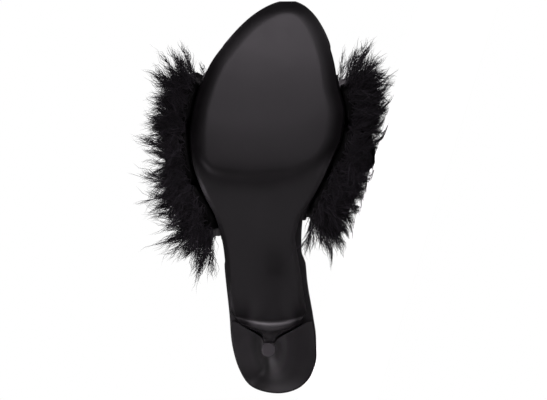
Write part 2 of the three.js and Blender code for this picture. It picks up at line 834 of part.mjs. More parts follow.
// Materials
const blackLeather = { color: 0x1b1a1c, roughness: 0.35, metalness: 0 };
const glossLeather = { color: 0x232124, roughness: 0.28, metalness: 0 };
const rubber = { color: 0x3b393b, roughness: 0.6, metalness: 0 };
const feather = { color: 0x0c0c0e, roughness: 0.8, metalness: 0 };

function named(name, geometry, finish) {
  const mesh = new THREE.Mesh(geometry, new THREE.MeshStandardMaterial(finish));
  mesh.name = name;
  return mesh;
}

const slipper = new THREE.Group();
const insoleShape = insole();
const floor = floorDistance(insoleShape);
slipper.add(
  named('outsole', outsole(), glossLeather),
  named('insole', insoleShape, blackLeather),
  named('heel', heel(), glossLeather),
  named('top_piece', topPiece(), rubber),
  named('upper', upper(), blackLeather),
);
featherRows.forEach((row) => slipper.add(named(row.name, featherRow(row, floor), feather)));

// Laid on its big-toe side with the sole facing -Y and the toe towards +X, its box centred
// on the origin and standing on the ground
slipper.rotation.set(-Math.PI / 2, -lean, 0, 'YXZ');
const placed = new THREE.Group();
placed.add(slipper);
placed.updateMatrixWorld(true);
const bounds = new THREE.Box3().setFromObject(placed, true);
const centre = bounds.getCenter(point(0, 0, 0));
slipper.position.set(-centre.x, -centre.y, -bounds.min.z);

export default placed;
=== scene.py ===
"""Dresses the heeled marabou slipper: polished sole, covered heel, leather band and feather rows."""

import math

import bmesh
import bpy
import numpy as np
from mathutils import Matrix, Vector


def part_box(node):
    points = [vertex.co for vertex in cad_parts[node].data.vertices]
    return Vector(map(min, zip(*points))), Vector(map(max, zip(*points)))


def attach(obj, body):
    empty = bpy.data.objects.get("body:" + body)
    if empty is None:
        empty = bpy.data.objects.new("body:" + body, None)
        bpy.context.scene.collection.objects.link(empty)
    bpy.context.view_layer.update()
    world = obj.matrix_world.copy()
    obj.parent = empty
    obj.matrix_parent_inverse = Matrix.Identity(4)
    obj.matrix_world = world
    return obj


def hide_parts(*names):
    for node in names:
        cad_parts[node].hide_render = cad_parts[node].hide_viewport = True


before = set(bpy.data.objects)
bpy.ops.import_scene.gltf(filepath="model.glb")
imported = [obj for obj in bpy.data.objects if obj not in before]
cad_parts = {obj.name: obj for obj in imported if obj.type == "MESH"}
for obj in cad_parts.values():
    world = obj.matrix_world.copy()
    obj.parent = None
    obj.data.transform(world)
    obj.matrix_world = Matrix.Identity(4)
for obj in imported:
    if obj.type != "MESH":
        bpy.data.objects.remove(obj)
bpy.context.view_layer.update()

bl_info = {
    "name": "Marabou slipper",
    "version": (1, 0, 0),
    "blender": (4, 5, 0),
    "location": "3D View > Sidebar > Slipper",
    "description": "Builds a heeled marabou slipper and the studio it is photographed in",
    "category": "Object",
}

MM = 0.001
SEED = 20

# The shoe's own frame, in millimetres: along from heel to toe, across towards the big-toe side,
# up from the ground it is worn on. It lies on its big-toe side, its toe lifted by this angle.
LEAN = math.radians(17)

# Main sizes of the shoe. TIP_AT, TOE_START and TREAD_START are shares of the length: where the
# heel's tip stands, where the toe starts to lift, and where the tread starts to follow it. The
# seat takes SEAT_FALL of the bed's fall over its run and the shank the rest over its own.
# CURVED_GAP is the air between curved pieces, PAD the sole's thickness at the tread.
TIP_AT = 0.13
TOE_START = 0.84
TREAD_START = 0.76
LENGTH = 231.0
BALL = 90.8
HEEL_HEIGHT = 50.0
TOE_SPRING = 8.0
INSTEP = 64.0
SEAT_FALL = 0.07
SEAT_RUN = (0, 0.26)
SHANK_RUN = (0.117, 0.62)
CURVED_GAP = 0.45
PAD = 4.0
BED_BASE = PAD + CURVED_GAP
WALL = 1.6

OUTLINE = np.array([
    # at, little-toe half, big-toe half: shares of the length and of the ball width
    (0, -0.035, 0.035), (0.02, 0.147, 0.196), (0.05, 0.205, 0.258), (0.1, 0.252, 0.291),
    (0.15, 0.274, 0.287), (0.2, 0.281, 0.269), (0.3, 0.3, 0.231), (0.38, 0.31, 0.222),
    (0.46, 0.352, 0.237), (0.52, 0.427, 0.31), (0.6, 0.494, 0.404), (0.66, 0.506, 0.466),
    (0.72, 0.488, 0.484), (0.78, 0.447, 0.45), (0.84, 0.381, 0.425), (0.9, 0.267, 0.38),
    (0.95, 0.151, 0.317), (0.98, 0.046, 0.254), (1, -0.122, 0.122),
])
WAIST = np.array([
    # at, how far the outsole's big-toe edge stands in, in millimetres
    (0.2, 3.4), (0.3, 3), (0.36, 4.2), (0.41, 5.6), (0.46, 4), (0.5, 2), (0.55, 0.8),
])
HEEL_RINGS = np.array([
    # level, front, back, side: the spread from tip to seat; the share covered by the flap
    (0, 0, 0, 0, 0.7), (0.2, 0.09, 0.085, 0.028, 0.75), (0.45, 0.22, 0.27, 0.09, 0.75),
    (0.65, 0.36, 0.48, 0.235, 0.72), (0.78, 0.56, 0.66, 0.45, 0.8), (0.87, 0.8, 0.82, 0.69, 0.9),
    (0.94, 0.98, 0.92, 0.87, 0.97), (1, 1, 1, 1, 1),
])
BAND_EDGES = np.array([
    # around the foot from the big-toe side, rear edge, front edge: shares of the length
    (0, 0.45, 0.814), (0.25, 0.46, 0.785), (0.5, 0.476, 0.736), (0.75, 0.43, 0.79),
    (1, 0.4, 0.823),
])
RIDGE = np.array([
    # at, height of the band's ridge as a share of the instep's
    (0.3, 1.04), (0.36, 1.04), (0.42, 1.03), (0.476, 1), (0.56, 0.87), (0.65, 0.73),
    (0.74, 0.6), (0.82, 0.49), (0.92, 0.38),
])
FLUFF = np.array([
    # around the foot, reach of the front, middle and rear feathers as shares of the full reach
    (0, 1.12, 1.18, 1.06), (0.2, 1.15, 1.22, 1.12), (0.5, 0.88, 0.88, 0.9), (0.8, 0.84, 0.84, 1),
    (1, 0.8, 0.8, 1.08),
])
PAD_REAR = np.array([
    # across, along: the curved line where the forefoot pad ends towards the shank
    (-46, 149), (-40, 139), (-33, 132.5), (-24, 129.5), (-12, 128.8), (0, 129), (12, 130.5),
    (22, 134.5), (32, 142), (40, 148.5), (46, 153),
])


def smooth_curve(table, column, warp=lambda x: x):
    """Curve through a table's rows that never swings past them: each stretch is a cubic whose
    end slopes are the harmonic means of the neighbouring stretches' slopes."""
    xs = warp(table[:, 0])
    ys = table[:, column]
    steps = np.diff(xs)
    slopes = np.diff(ys) / steps
    left, right = slopes[:-1], slopes[1:]
    same = left * right > 0
    mean = 2 / (1 / np.where(same, left, 1) + 1 / np.where(same, right, 1))
    tangents = np.concatenate([slopes[:1], np.where(same, mean, 0), slopes[-1:]])

    def curve(x):
        x = np.asarray(x, float)
        i = np.clip(np.searchsorted(xs, x, side="left") - 1, 0, len(steps) - 1)
        u = np.clip((x - xs[i]) / steps[i], 0, 1)
        rise = u * u * (3 - 2 * u)
        bend = tangents[i] * u * (1 - u) ** 2 - tangents[i + 1] * u * u * (1 - u)
        return ys[i] * (1 - rise) + ys[i + 1] * rise + steps[i] * bend

    return curve


def stacked(*parts):
    """Arrays side by side in a new last axis, those of one number stretched to fit the rest."""
    return np.stack(np.broadcast_arrays(*parts), -1)


def smoothstep(x, low, high):
    """0 below low, 1 above high and 3 u squared less 2 u cubed between them."""
    u = np.clip((x - low) / (high - low), 0, 1)
    return u * u * (3 - 2 * u)


def smootherstep(x, low, high):
    """The same with 6 u to the fifth less 15 u to the fourth plus 10 u cubed between them."""
    u = np.clip((x - low) / (high - low), 0, 1)
    return u ** 3 * (u * (6 * u - 15) + 10)


def station_of(share):
    """Station from 0 to 1 of a share of the length: stations crowd at both ends like a cosine."""
    return np.arccos(1 - 2 * np.clip(share, 0, 1)) / np.pi


def share_of(station):
    """Share of the length of a station: half of 1 less the cosine of its half turn."""
    return (1 - np.cos(np.pi * station)) / 2


little_curve = smooth_curve(OUTLINE, 1, station_of)
big_curve = smooth_curve(OUTLINE, 2, station_of)
waist_curve = smooth_curve(WAIST, 1)
pad_rear = smooth_curve(PAD_REAR, 1)
ridge_curve = smooth_curve(RIDGE, 1)
rear_curve = smooth_curve(BAND_EDGES, 1)
front_curve = smooth_curve(BAND_EDGES, 2)
reach_curves = {row: smooth_curve(FLUFF, k + 1) for k, row in enumerate(("front", "middle", "rear"))}
heel_front, heel_back, heel_side, heel_flap = [smooth_curve(HEEL_RINGS, k) for k in (1, 2, 3, 4)]


def little_half(along):
    """Half width from the middle line to the little-toe edge."""
    return BALL * little_curve(station_of(along / LENGTH))


def big_half(along):
    """Half width from the middle line to the big-toe edge."""
    return BALL * big_curve(station_of(along / LENGTH))


def beyond(share, start):
    """How far a share of the length is past a start, from 0 there to 1 at the toe."""
    return np.maximum(0, share - start) / (1 - start)


def bed_height(along):
    """Underside of the insole: a seat that falls a little, a shank that runs down to the level
    tread, and a toe that lifts again by the square of the distance."""
    share = np.asarray(along, float) / LENGTH
    shank = smootherstep(share, *SHANK_RUN)
    fall = SEAT_FALL * smoothstep(share, *SEAT_RUN) + (1 - SEAT_FALL) * shank
    lift = TOE_SPRING * beyond(share, TOE_START) ** 2
    return BED_BASE + (HEEL_HEIGHT - BED_BASE) * (1 - fall) + lift


def bed_point(along, across, up):
    """A point on the bed, or a distance above it, square to its slope."""
    slope = np.arctan(bed_height(along + 0.5) - bed_height(along - 0.5))
    x = along - up * np.sin(slope)
    z = bed_height(along) + up * np.cos(slope)
    return stacked(x, across, z)


def unit(v):
    """Vectors shortened or stretched to a length of 1."""
    return v / np.maximum(np.linalg.norm(v, axis=-1, keepdims=True), 1e-9)


# The shoe's origin in the row frame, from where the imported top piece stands
_low, _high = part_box("top_piece")
ALONG_AXIS = np.array([math.cos(LEAN), 0, math.sin(LEAN)])
ACROSS_AXIS = np.array([math.sin(LEAN), 0, -math.cos(LEAN)])
UP_AXIS = np.array([0.0, 1.0, 0.0])
ORIGIN = np.array([(_low[0] + _high[0]) / 2, _low[1], (_low[2] + _high[2]) / 2])
ORIGIN = ORIGIN - TIP_AT * LENGTH * MM * ALONG_AXIS


def to_row(points):
    """Shoe millimetres to row metres: the three axes laid on the lying shoe."""
    p = np.asarray(points, float) * MM
    return ORIGIN + p[..., :1] * ALONG_AXIS + p[..., 1:2] * ACROSS_AXIS + p[..., 2:] * UP_AXIS


FLOOR = -ORIGIN[2] / MM
OFF_FLOOR = np.array([math.sin(LEAN), -math.cos(LEAN), 0])


def above_floor(points):
    """Height over the floor, in millimetres, of points in the shoe's frame."""
    return points @ OFF_FLOOR - FLOOR


# Meshes and materials

# Depth of the leather's pores in millimetres, and the leather's specular level where it is
# polished and where painted shade takes the gloss off
GRAIN_DEPTH = 0.12
POLISHED = 0.5
SHADED_SPECULAR = 0.12


def make_object(name, vertices, faces, smooth=True, sharp=None):
    """Puts a vertex array and a face array, of equal-sized faces, into a new object."""
    mesh = bpy.data.meshes.new(name)
    count, corners = faces.shape
    mesh.vertices.add(len(vertices))
    mesh.vertices.foreach_set("co", np.ascontiguousarray(vertices, np.float32).ravel())
    mesh.loops.add(count * corners)
    mesh.loops.foreach_set("vertex_index", faces.astype(np.int32).ravel())
    mesh.polygons.add(count)
    mesh.polygons.foreach_set("loop_start", np.arange(0, count * corners, corners, dtype=np.int32))
    mesh.polygons.foreach_set("use_smooth", np.full(count, smooth))
    mesh.update(calc_edges=True)
    if sharp is not None:
        mesh.set_sharp_from_angle(angle=math.radians(sharp))
    made = bpy.data.objects.new(name, mesh)
    bpy.context.scene.collection.objects.link(made)
    return made


def grid_faces(rows, columns, closed):
    """Quads over a grid of points; closed joins the last column to the first."""
    j = np.arange(columns if closed else columns - 1)
    r = np.arange(rows - 1)[:, None]
    a = r * columns + j
    b = r * columns + (j + 1) % columns
    return stacked(a, b, b + columns, a + columns).reshape(-1, 4)


def ring_solid(name, rings, caps="fan", **shading):
    """Closed mesh over rings of points, in the shoe's frame. Caps are a fan to the middle of an
    end ring, a strip across it, or none where it folds onto a line."""
    rows, columns = rings.shape[:2]
    points = rings.reshape(-1, 3)
    faces = [grid_faces(rows, columns, True)]
    last = (rows - 1) * columns
    j = np.arange(columns)
    after = (j + 1) % columns
    if caps == "fan":
        hub = len(points)
        points = np.concatenate([points, [rings[0].mean(0), rings[-1].mean(0)]])
        faces += [stacked(after, j, hub, hub), stacked(last + j, last + after, hub + 1, hub + 1)]
    if caps == "strip":
        k = np.arange(columns // 2 - 1)
        far = columns - 1 - k
        faces += [stacked(k + 1, k, far, far - 1), last + stacked(k, k + 1, far - 1, far)]
    made = make_object(name, to_row(points), np.concatenate(faces), **shading)
    clean(made)
    return made


def clean(made):
    """Welds doubled points, drops folded faces and points the rest outwards."""
    work = bmesh.new()
    work.from_mesh(made.data)
    bmesh.ops.remove_doubles(work, verts=work.verts, dist=1e-6)
    bmesh.ops.dissolve_degenerate(work, edges=work.edges, dist=1e-7)
    bmesh.ops.recalc_face_normals(work, faces=work.faces)
    work.to_mesh(made.data)
    work.free()


def set_attribute(made, name, values):
    """Writes a number for every vertex into an attribute that a material reads."""
    attribute = made.data.attributes.new(name, "FLOAT", "POINT")
    attribute.data.foreach_set("value", np.ascontiguousarray(values, np.float32))


def linear(hex_colour):
    """sRGB hex to the linear colour that shaders and colour properties take."""
    value = hex_colour.lstrip("#")
    parts = np.array([int(value[i:i + 2], 16) / 255 for i in (0, 2, 4)])
    parts = np.where(parts <= 0.04045, parts / 12.92, ((parts + 0.055) / 1.055) ** 2.4)
    return parts.tolist()


def new_material(name):
    """An empty node material."""
    material = bpy.data.materials.new(name)
    material.use_nodes = True
    material.node_tree.nodes.clear()
    return material


def add_node(tree, kind, settings=None, values=None, links=None):
    """Adds a node, with its settings, its socket values and the links into its sockets."""
    node = tree.nodes.new(kind)
    for key, value in (settings or {}).items():
        setattr(node, key, value)
    for key, value in (values or {}).items():
        node.inputs[key].default_value = value
    for key, socket in (links or {}).items():
        tree.links.new(socket, node.inputs[key])
    return node


def surface(tree, values, links):
    """Ends a material with the surface shader, whose constants are on its own sockets."""
    shader = add_node(tree, "ShaderNodeBsdfPrincipled", values=values, links=links)
    add_node(tree, "ShaderNodeOutputMaterial", links={"Surface": shader.outputs[0]})
    return shader


def between(tree, factor, dark, light, low=0.0, high=1.0):
    """Colour that goes over from dark to light as the factor rises from low to high."""
    ramp = add_node(tree, "ShaderNodeValToRGB", links={"Fac": factor})
    for stop, place, colour in zip(ramp.color_ramp.elements, (low, high), (dark, light)):
        stop.position = place
        stop.color = (*colour, 1)
    return ramp.outputs["Color"]


def leather(name, dark, light, roughness, grain_mm, grain, coat, coat_roughness,
            mottle_mm=14.0, edge_shaded=False):
    """Leather on Object coordinates: a pore and crease pattern as bump at its real scale, and a
    slow cloud that shifts colour and gloss as hand polishing does. Where the edge attribute is up
    on a leather that takes it, its specular level and coat drop, as painted shade."""
    material = new_material(name)
    tree = material.node_tree
    place = add_node(tree, "ShaderNodeTexCoord").outputs["Object"]
    cloud = add_node(tree, "ShaderNodeTexNoise", values={
        "Scale": 1 / (mottle_mm * MM), "Detail": 4.0, "Roughness": 0.6}, links={"Vector": place})
    pores = add_node(tree, "ShaderNodeTexVoronoi", {"feature": "SMOOTH_F1"}, {
        "Scale": 1 / (grain_mm * MM), "Smoothness": 0.6}, {"Vector": place})
    fine = add_node(tree, "ShaderNodeTexNoise", values={
        "Scale": 2.5 / (grain_mm * MM), "Detail": 3.0}, links={"Vector": place})
    both = add_node(tree, "ShaderNodeMath", {"operation": "ADD"}, links={
        0: pores.outputs["Distance"], 1: fine.outputs["Fac"]})
    bump = add_node(tree, "ShaderNodeBump", values={
        "Strength": grain, "Distance": GRAIN_DEPTH * MM}, links={"Height": both.outputs[0]})
    gloss = add_node(tree, "ShaderNodeMapRange", values={
        "From Min": 0.3, "From Max": 0.7, "To Min": roughness - 0.04, "To Max": roughness + 0.05},
        links={"Value": cloud.outputs["Fac"]})
    shader = surface(tree, {
        "IOR": 1.48, "Specular IOR Level": POLISHED, "Coat Weight": coat,
        "Coat Roughness": coat_roughness}, {
        "Base Color": between(tree, cloud.outputs["Fac"], dark, light, 0.32, 0.7),
        "Roughness": gloss.outputs["Result"], "Normal": bump.outputs["Normal"]})
    if edge_shaded:
        # Painted shade: the edge attribute takes the specular level and the coat down
        edge = add_node(tree, "ShaderNodeAttribute", {"attribute_name": "edge"}).outputs["Fac"]
        for socket, polished, in_shade in (("Specular IOR Level", POLISHED, SHADED_SPECULAR),
                                        ("Coat Weight", coat, 0.0)):
            level = add_node(tree, "ShaderNodeMapRange", values={
                "To Min": polished, "To Max": in_shade}, links={"Value": edge})
            tree.links.new(level.outputs["Result"], shader.inputs[socket])
    return material


def plain_rubber(name, colour, roughness):
    """Moulded rubber: matte, with the fine tooth of its mould as bump."""
    material = new_material(name)
    tree = material.node_tree
    place = add_node(tree, "ShaderNodeTexCoord").outputs["Object"]
    tooth = add_node(tree, "ShaderNodeTexNoise", values={
        "Scale": 1 / (0.5 * MM), "Detail": 3.0}, links={"Vector": place})
    bump = add_node(tree, "ShaderNodeBump", values={
        "Strength": 0.25, "Distance": 0.1 * MM}, links={"Height": tooth.outputs["Fac"]})
    shade = add_node(tree, "ShaderNodeMapRange", values={
        "From Min": 0.3, "From Max": 0.7, "To Min": roughness - 0.06, "To Max": roughness + 0.06},
        links={"Value": tooth.outputs["Fac"]})
    surface(tree, {"Base Color": (*colour, 1), "IOR": 1.5}, {
        "Roughness": shade.outputs["Result"], "Normal": bump.outputs["Normal"]})
    return material


def down(name, gloss, dark, light=None):
    """Dyed marabou down. With a light colour, each barb lies between the two by its own shade,
    which the shade attribute holds. The material is made once."""
    if name in bpy.data.materials:
        return bpy.data.materials[name]
    material = new_material(name)
    tree = material.node_tree
    links = {}
    if light is not None:
        shade = add_node(tree, "ShaderNodeAttribute", {"attribute_name": "shade"}).outputs["Fac"]
        links["Base Color"] = between(tree, shade, dark, light)
    surface(tree, {"Base Color": (*dark, 1), "Roughness": 0.5, "IOR": 1.45,
                   "Specular IOR Level": gloss}, links)
    return material


def finish_piece(made, slot, material, *nodes):
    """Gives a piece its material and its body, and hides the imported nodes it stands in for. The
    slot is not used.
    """
    made.data.materials.append(material)
    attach(made, "root")
    if nodes:
        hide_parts(*nodes)


# Outline helpers

# Where the middle line of a plate starts and ends, as shares of the length
SPINE = (0.12, 0.87)


def rim_loop(steps):
    """The insole's outline from the heel's back round the little-toe side, with stations that
    crowd towards the heel and the toe."""
    station = np.concatenate([np.linspace(0, 1, steps + 1), np.linspace(1, 0, steps + 1)[1:-1]])
    along = LENGTH * share_of(station)
    side = np.arange(2 * steps) <= steps
    across = np.where(side, -BALL * little_curve(station), BALL * big_curve(station))
    return stacked(along, across)


def inset_loop(loop, inset):
    """Moves a loop's points inwards, square to the loop."""
    run = unit(np.roll(loop, -1, 0) - np.roll(loop, 1, 0))
    inward = stacked(-run[:, 1], run[:, 0])
    return loop + inward * np.reshape(inset, (-1, 1))


def spine_loop(loop):
    """The middle line that both sides of a plate run in to."""
    partner = loop[(-np.arange(len(loop))) % len(loop)]
    first, last = SPINE
    along = LENGTH * first + (last - first) * (loop[:, 0] + partner[:, 0]) / 2
    return stacked(along, (big_half(along) - little_half(along)) / 2)


# Outsole

# Thickness of the flap, the shank, and the shank where its edge is skived over a width. The
# sole stands in from the insole's outline by SOLE_INSET, its edge is round over SOFT_EDGE. The
# pad's bevel rises as a power of the distance, its rear end is a step and then a long fall,
# each from and to a distance past the rear line, and its tread lifts towards the toe as a power.
FLAP = 1.5
SHANK = 2.0
SKIVED = 1.5
SKIVE_WIDTH = 3.0
SOLE_INSET = 0.8
SOFT_EDGE = 0.35
BEVEL_POWER = 1.25
STEP = (-3, 4)
STEP_SHARE = 0.6
FALL = (-3, 32)
TREAD_POWER = 2.6

# Painted shade that takes the polish off the sole: the distances from the outline over which it
# gives way to the polish on the bevel, how it begins behind the pad's rear line, the shares of
# the length over which a part of it lifts towards the toe, and that part. In the crease behind
# the pad: how strong, and how far it fades to the front and to the rear. On the crest's corners:
# from where to where it grows across the heel, how strong, and how far along.
SHADED_RIM = (2.5, 9.0)
SHADED_REAR = (-9, 0)
SHADE_LIFT_RUN = (0.7, 0.95)
SHADE_LIFT = 0.45
CREASE_SHADE = 0.5
CREASE_FADE = (14, 5)
SHADED_CORNER = (10, 16)
CORNER_SHADE = 0.95
CORNER_REACH = 9

# The heel's seat, tip and crest: where the seat ends and is widest, how far the heel stands in
# from the outline, the tip's radius and height, and the fillet between breast and shank: how far
# along the shank it ends, at which share of the breast's height it starts, and how far on the
# breast's hollow runs out. The tip's bevel is a share of its radius.
SEAT_FRONT = 0.192 * LENGTH
SEAT_MIDDLE = 0.12 * LENGTH
SEAT_INSET = 1.0
TIP_RADIUS = 4.0
TOP_PIECE = 5.0
TIP_TOP = TOP_PIECE + 0.3
TIP_ALONG = TIP_AT * LENGTH
CREST_FILLET = 6.0
CREST_LEVEL = 0.86
HOLLOW_FADE = 24
TIP_BEVEL = 0.12


def breast_half(half, level):
    """Half width of the heel's breast on one side: from the tip's radius out to the seat's."""
    return TIP_RADIUS + (half(SEAT_FRONT) - SEAT_INSET - TIP_RADIUS) * heel_side(level)


def hollow_at(share):
    """How hollow the breast is at a share of its half width: a parabola, deepest in the middle."""
    return 1 - np.clip(share, -1, 1) ** 2


def flap_line(level, hollow):
    """Columns along, height, little half, big half, thickness, cover and hollow, up the heel's
    breast."""
    along = TIP_ALONG + TIP_RADIUS
    along = along + (SEAT_FRONT - SEAT_INSET - along) * heel_front(level) + CURVED_GAP
    height = TIP_TOP + (bed_height(SEAT_FRONT) - CURVED_GAP - TIP_TOP) * level
    cover = heel_flap(level)
    return stacked(along, height, cover * breast_half(little_half, level),
                   cover * breast_half(big_half, level), FLAP, cover, hollow * heel_front(level))


def sole_line(share, hollow):
    """The same columns along the sole, from the crest of the heel to the toe."""
    along = (LENGTH - SOLE_INSET) * share
    top = bed_point(along, 0.0, -CURVED_GAP)
    little = np.maximum(little_half(along) - SOLE_INSET, -big_half(along) + 2 * SOLE_INSET)
    big = big_half(along) - waist_curve(share)
    start = SEAT_FRONT + CREST_FILLET
    faded = hollow * heel_front(CREST_LEVEL) * (1 - smoothstep(along, start, start + HOLLOW_FADE))
    return stacked(top[:, 0], top[:, 2], little, big, SHANK, 1.0, faded)


def sole_stations(hollow):
    """Stations from the heel's tip up its breast, over the crest and on to the toe. The crest is
    a quadratic curve whose corner is where the breast's line meets the bed."""
    flap = flap_line(np.linspace(0.01, CREST_LEVEL, 60), hollow)
    start = (SEAT_FRONT + CREST_FILLET) / LENGTH
    sole = sole_line(share_of(np.linspace(station_of(start), 0.997, 150)), hollow)
    foot, below, head = flap[-1], flap[-2], sole[0]
    slant = (foot[0] - below[0]) / (foot[1] - below[1])
    along = foot[0] + slant * (bed_height(foot[0]) - foot[1])
    crest = np.array([along, bed_point(along, 0.0, -CURVED_GAP)[2]])
    u = np.linspace(0, 1, 26)[1:-1, None]
    turn = foot + (head - foot) * u
    turn[:, :2] = (1 - u) ** 2 * foot[:2] + 2 * u * (1 - u) * crest + u ** 2 * head[:2]
    turn[:, 2:4] = foot[2:4] + (head[2:4] - foot[2:4]) * np.sqrt(u)
    turn[:, 6] = foot[6]
    return np.concatenate([flap, turn, sole])


def rim_distance(along, across):
    """Distance in plan to the nearest stretch of the insole's outline."""
    loop = rim_loop(120)
    start = loop
    run = np.roll(loop, -1, 0) - loop
    spot = stacked(along, across)[..., None, :]
    t = np.clip(((spot - start) * run).sum(-1) / (run ** 2).sum(-1), 0, 1)
    return np.linalg.norm(spot - start - t[..., None] * run, axis=-1).min(-1)


def sheet_thickness(stations, across, sizes):
    """The thin sheet, its edge skived, with the forefoot pad proud of it. The pad's edge is a
    bevel that rolls over into the tread: 1 less a power of what 1 less distance by width leaves.
    Its rear end is a short step after a long soft fall, and towards the toe it thins a little,
    so that the tread lifts more slowly than the bed above it."""
    edge = np.where(across > 0, stations[:, 3:4] - across, stations[:, 2:3] + across)
    along = np.broadcast_to(stations[:, :1], across.shape)
    distance = np.maximum(0, np.minimum(edge, rim_distance(along, across) - SOLE_INSET))
    skive = smoothstep(distance, 0, SKIVE_WIDTH)
    rolled = 1 - (1 - np.clip(distance * MM / sizes.bevel_width, 0, 1)) ** BEVEL_POWER
    rear = along - pad_rear(across)
    padded = STEP_SHARE * smoothstep(rear, *STEP) + (1 - STEP_SHARE) * smoothstep(rear, *FALL)
    sheet = np.minimum(SKIVED, stations[:, 4:5]) * (1 - skive) + stations[:, 4:5] * skive
    share = along / LENGTH
    lag = beyond(share, TREAD_START) ** TREAD_POWER - beyond(share, TOE_START) ** 2
    tread = PAD - SHANK - TOE_SPRING * lag
    rim = sizes.rim_thickness / MM
    return sheet + tread * padded * rolled + (rim - sheet) * padded * (1 - rolled)


def paint_edge_shade(made):
    """Marks where painted shade takes the gloss off the sole: on the bevel round the pad beside the
    sole's edge, and in the crease where the pad ends, from which it fades by the exponential of the
    distance. The two corners of the heel's crest get painted shade too, which dims their highlight."""
    spots = np.empty(3 * len(made.data.vertices))
    made.data.vertices.foreach_get("co", spots)
    spots = (spots.reshape(-1, 3) - ORIGIN) / MM
    along, across = spots @ ALONG_AXIS, spots @ ACROSS_AXIS
    rear = along - pad_rear(across)
    # Painted shade on the bevel beside the sole's edge, starting behind the pad and lifting a little
    # towards the toe
    beside = 1 - smoothstep(rim_distance(along, across) - SOLE_INSET, *SHADED_RIM)
    beside = beside * smoothstep(rear, *SHADED_REAR)
    beside = beside * (1 - SHADE_LIFT * smoothstep(along / LENGTH, *SHADE_LIFT_RUN))
    # Painted shade in the crease behind the pad
    ahead, back = (rear + 1) / CREASE_FADE[0], (rear + 1) / CREASE_FADE[1]
    behind = CREASE_SHADE * np.exp(-np.where(rear > -1, ahead, back ** 2))
    # Painted shade on the crest's two corners, which dims their highlight
    corner = CORNER_SHADE * smoothstep(np.abs(across), *SHADED_CORNER)
    corner = corner * np.exp(-((along - SEAT_FRONT) / CORNER_REACH) ** 2)
    # The edge attribute holds the painted shade: where it is up, the sole loses its gloss
    set_attribute(made, "edge", 1 - (1 - beside) * (1 - behind) * (1 - corner))


def build_outsole(sizes, colours):
    """A sheet carried along the stations: its top lies on the bed, its underside the thickness
    below it square to the run, and each edge is rounded by an ellipse."""
    stations = sole_stations(sizes.breast_hollow / MM)
    run = unit(np.gradient(stations[:, :2], axis=0))
    share = share_of(np.linspace(0, 1, 61))
    across = -stations[:, 2:3] + (stations[:, 2:3] + stations[:, 3:4]) * share
    thick = sheet_thickness(stations, across, sizes)
    narrow = np.clip(across, -stations[:, 2:3] + SOFT_EDGE, stations[:, 3:4] - SOFT_EDGE)
    half = np.where(across > 0, stations[:, 3:4], stations[:, 2:3])
    along = stations[:, :1] - stations[:, 6:] * hollow_at(stations[:, 5:6] * across / half)
    top = stacked(along, narrow, stations[:, 1:2])
    under = stacked(along + run[:, 1:] * thick, narrow, stations[:, 1:2] - run[:, :1] * thick)

    def edge(side):
        column = -1 if side > 0 else 0
        middle = (top[:, column] + under[:, column]) / 2
        rise = (top[:, column] - under[:, column]) / 2
        out = np.array([0, side * SOFT_EDGE, 0])
        turns = np.radians([50, 20, -20, -50])
        return np.stack([middle + rise * math.sin(t) + out * math.cos(t) for t in turns], 1)

    rings = np.concatenate([top, edge(1), under[:, ::-1], edge(-1)[:, ::-1]], 1)
    # The end caps pair a ring's columns from both sides, so each ring starts at mid edge
    made = ring_solid("outsole_sheet", np.roll(rings, 2, axis=1), caps="strip", sharp=40)
    # Oak-bark sole leather, dyed, filled and polished: near black, its grain almost closed, with
    # a wide soft sheen on the tread and none on the bevel, whose gloss painted shade takes off
    material = leather("Polished black sole leather", colours.sole, colours.sole_light,
                       roughness=0.38, grain_mm=0.9, grain=0.06, coat=0.4, coat_roughness=0.3,
                       edge_shaded=True)
    # Paints shade on the sole's bevel, crease and crest corners by taking their gloss off
    paint_edge_shade(made)
    finish_piece(made, "sole_leather", material, "outsole")


# Heel and its top piece

def seat_loop(steps, breast):
    """The seat's ring: the outline from one front corner round the back to the other, crowded
    there like a cosine, closed by a straight line across the breast and stood in a little."""
    j = np.arange(-steps, steps + 1)
    along = SEAT_FRONT * (1 - np.cos(np.pi / 2 * j / steps))
    across = np.where(j <= 0, -little_half(along), big_half(along))
    loop = stacked(along, across)
    t = (np.arange(1, breast) / breast)[:, None]
    front = loop[-1] + (loop[0] - loop[-1]) * t
    return inset_loop(np.concatenate([loop, front])[::-1], SEAT_INSET)[::-1]


def heel_tip(seat):
    """The tip's ring, point for point with the seat's: a small circle squared at the front."""
    ahead = seat[:, 0] > SEAT_MIDDLE
    reach = np.where(ahead, SEAT_FRONT - SEAT_MIDDLE, SEAT_MIDDLE)
    half = np.where(seat[:, 1] > 0, big_half(SEAT_MIDDLE), little_half(SEAT_MIDDLE))
    angle = np.arctan2(seat[:, 1] / half, (seat[:, 0] - SEAT_MIDDLE) / reach)
    power = 2 / np.where(ahead, 3, 2)
    ring = [np.sign(f(angle)) * np.abs(f(angle)) ** power for f in (np.cos, np.sin)]
    return stacked(TIP_ALONG + TIP_RADIUS * ring[0], TIP_RADIUS * ring[1])


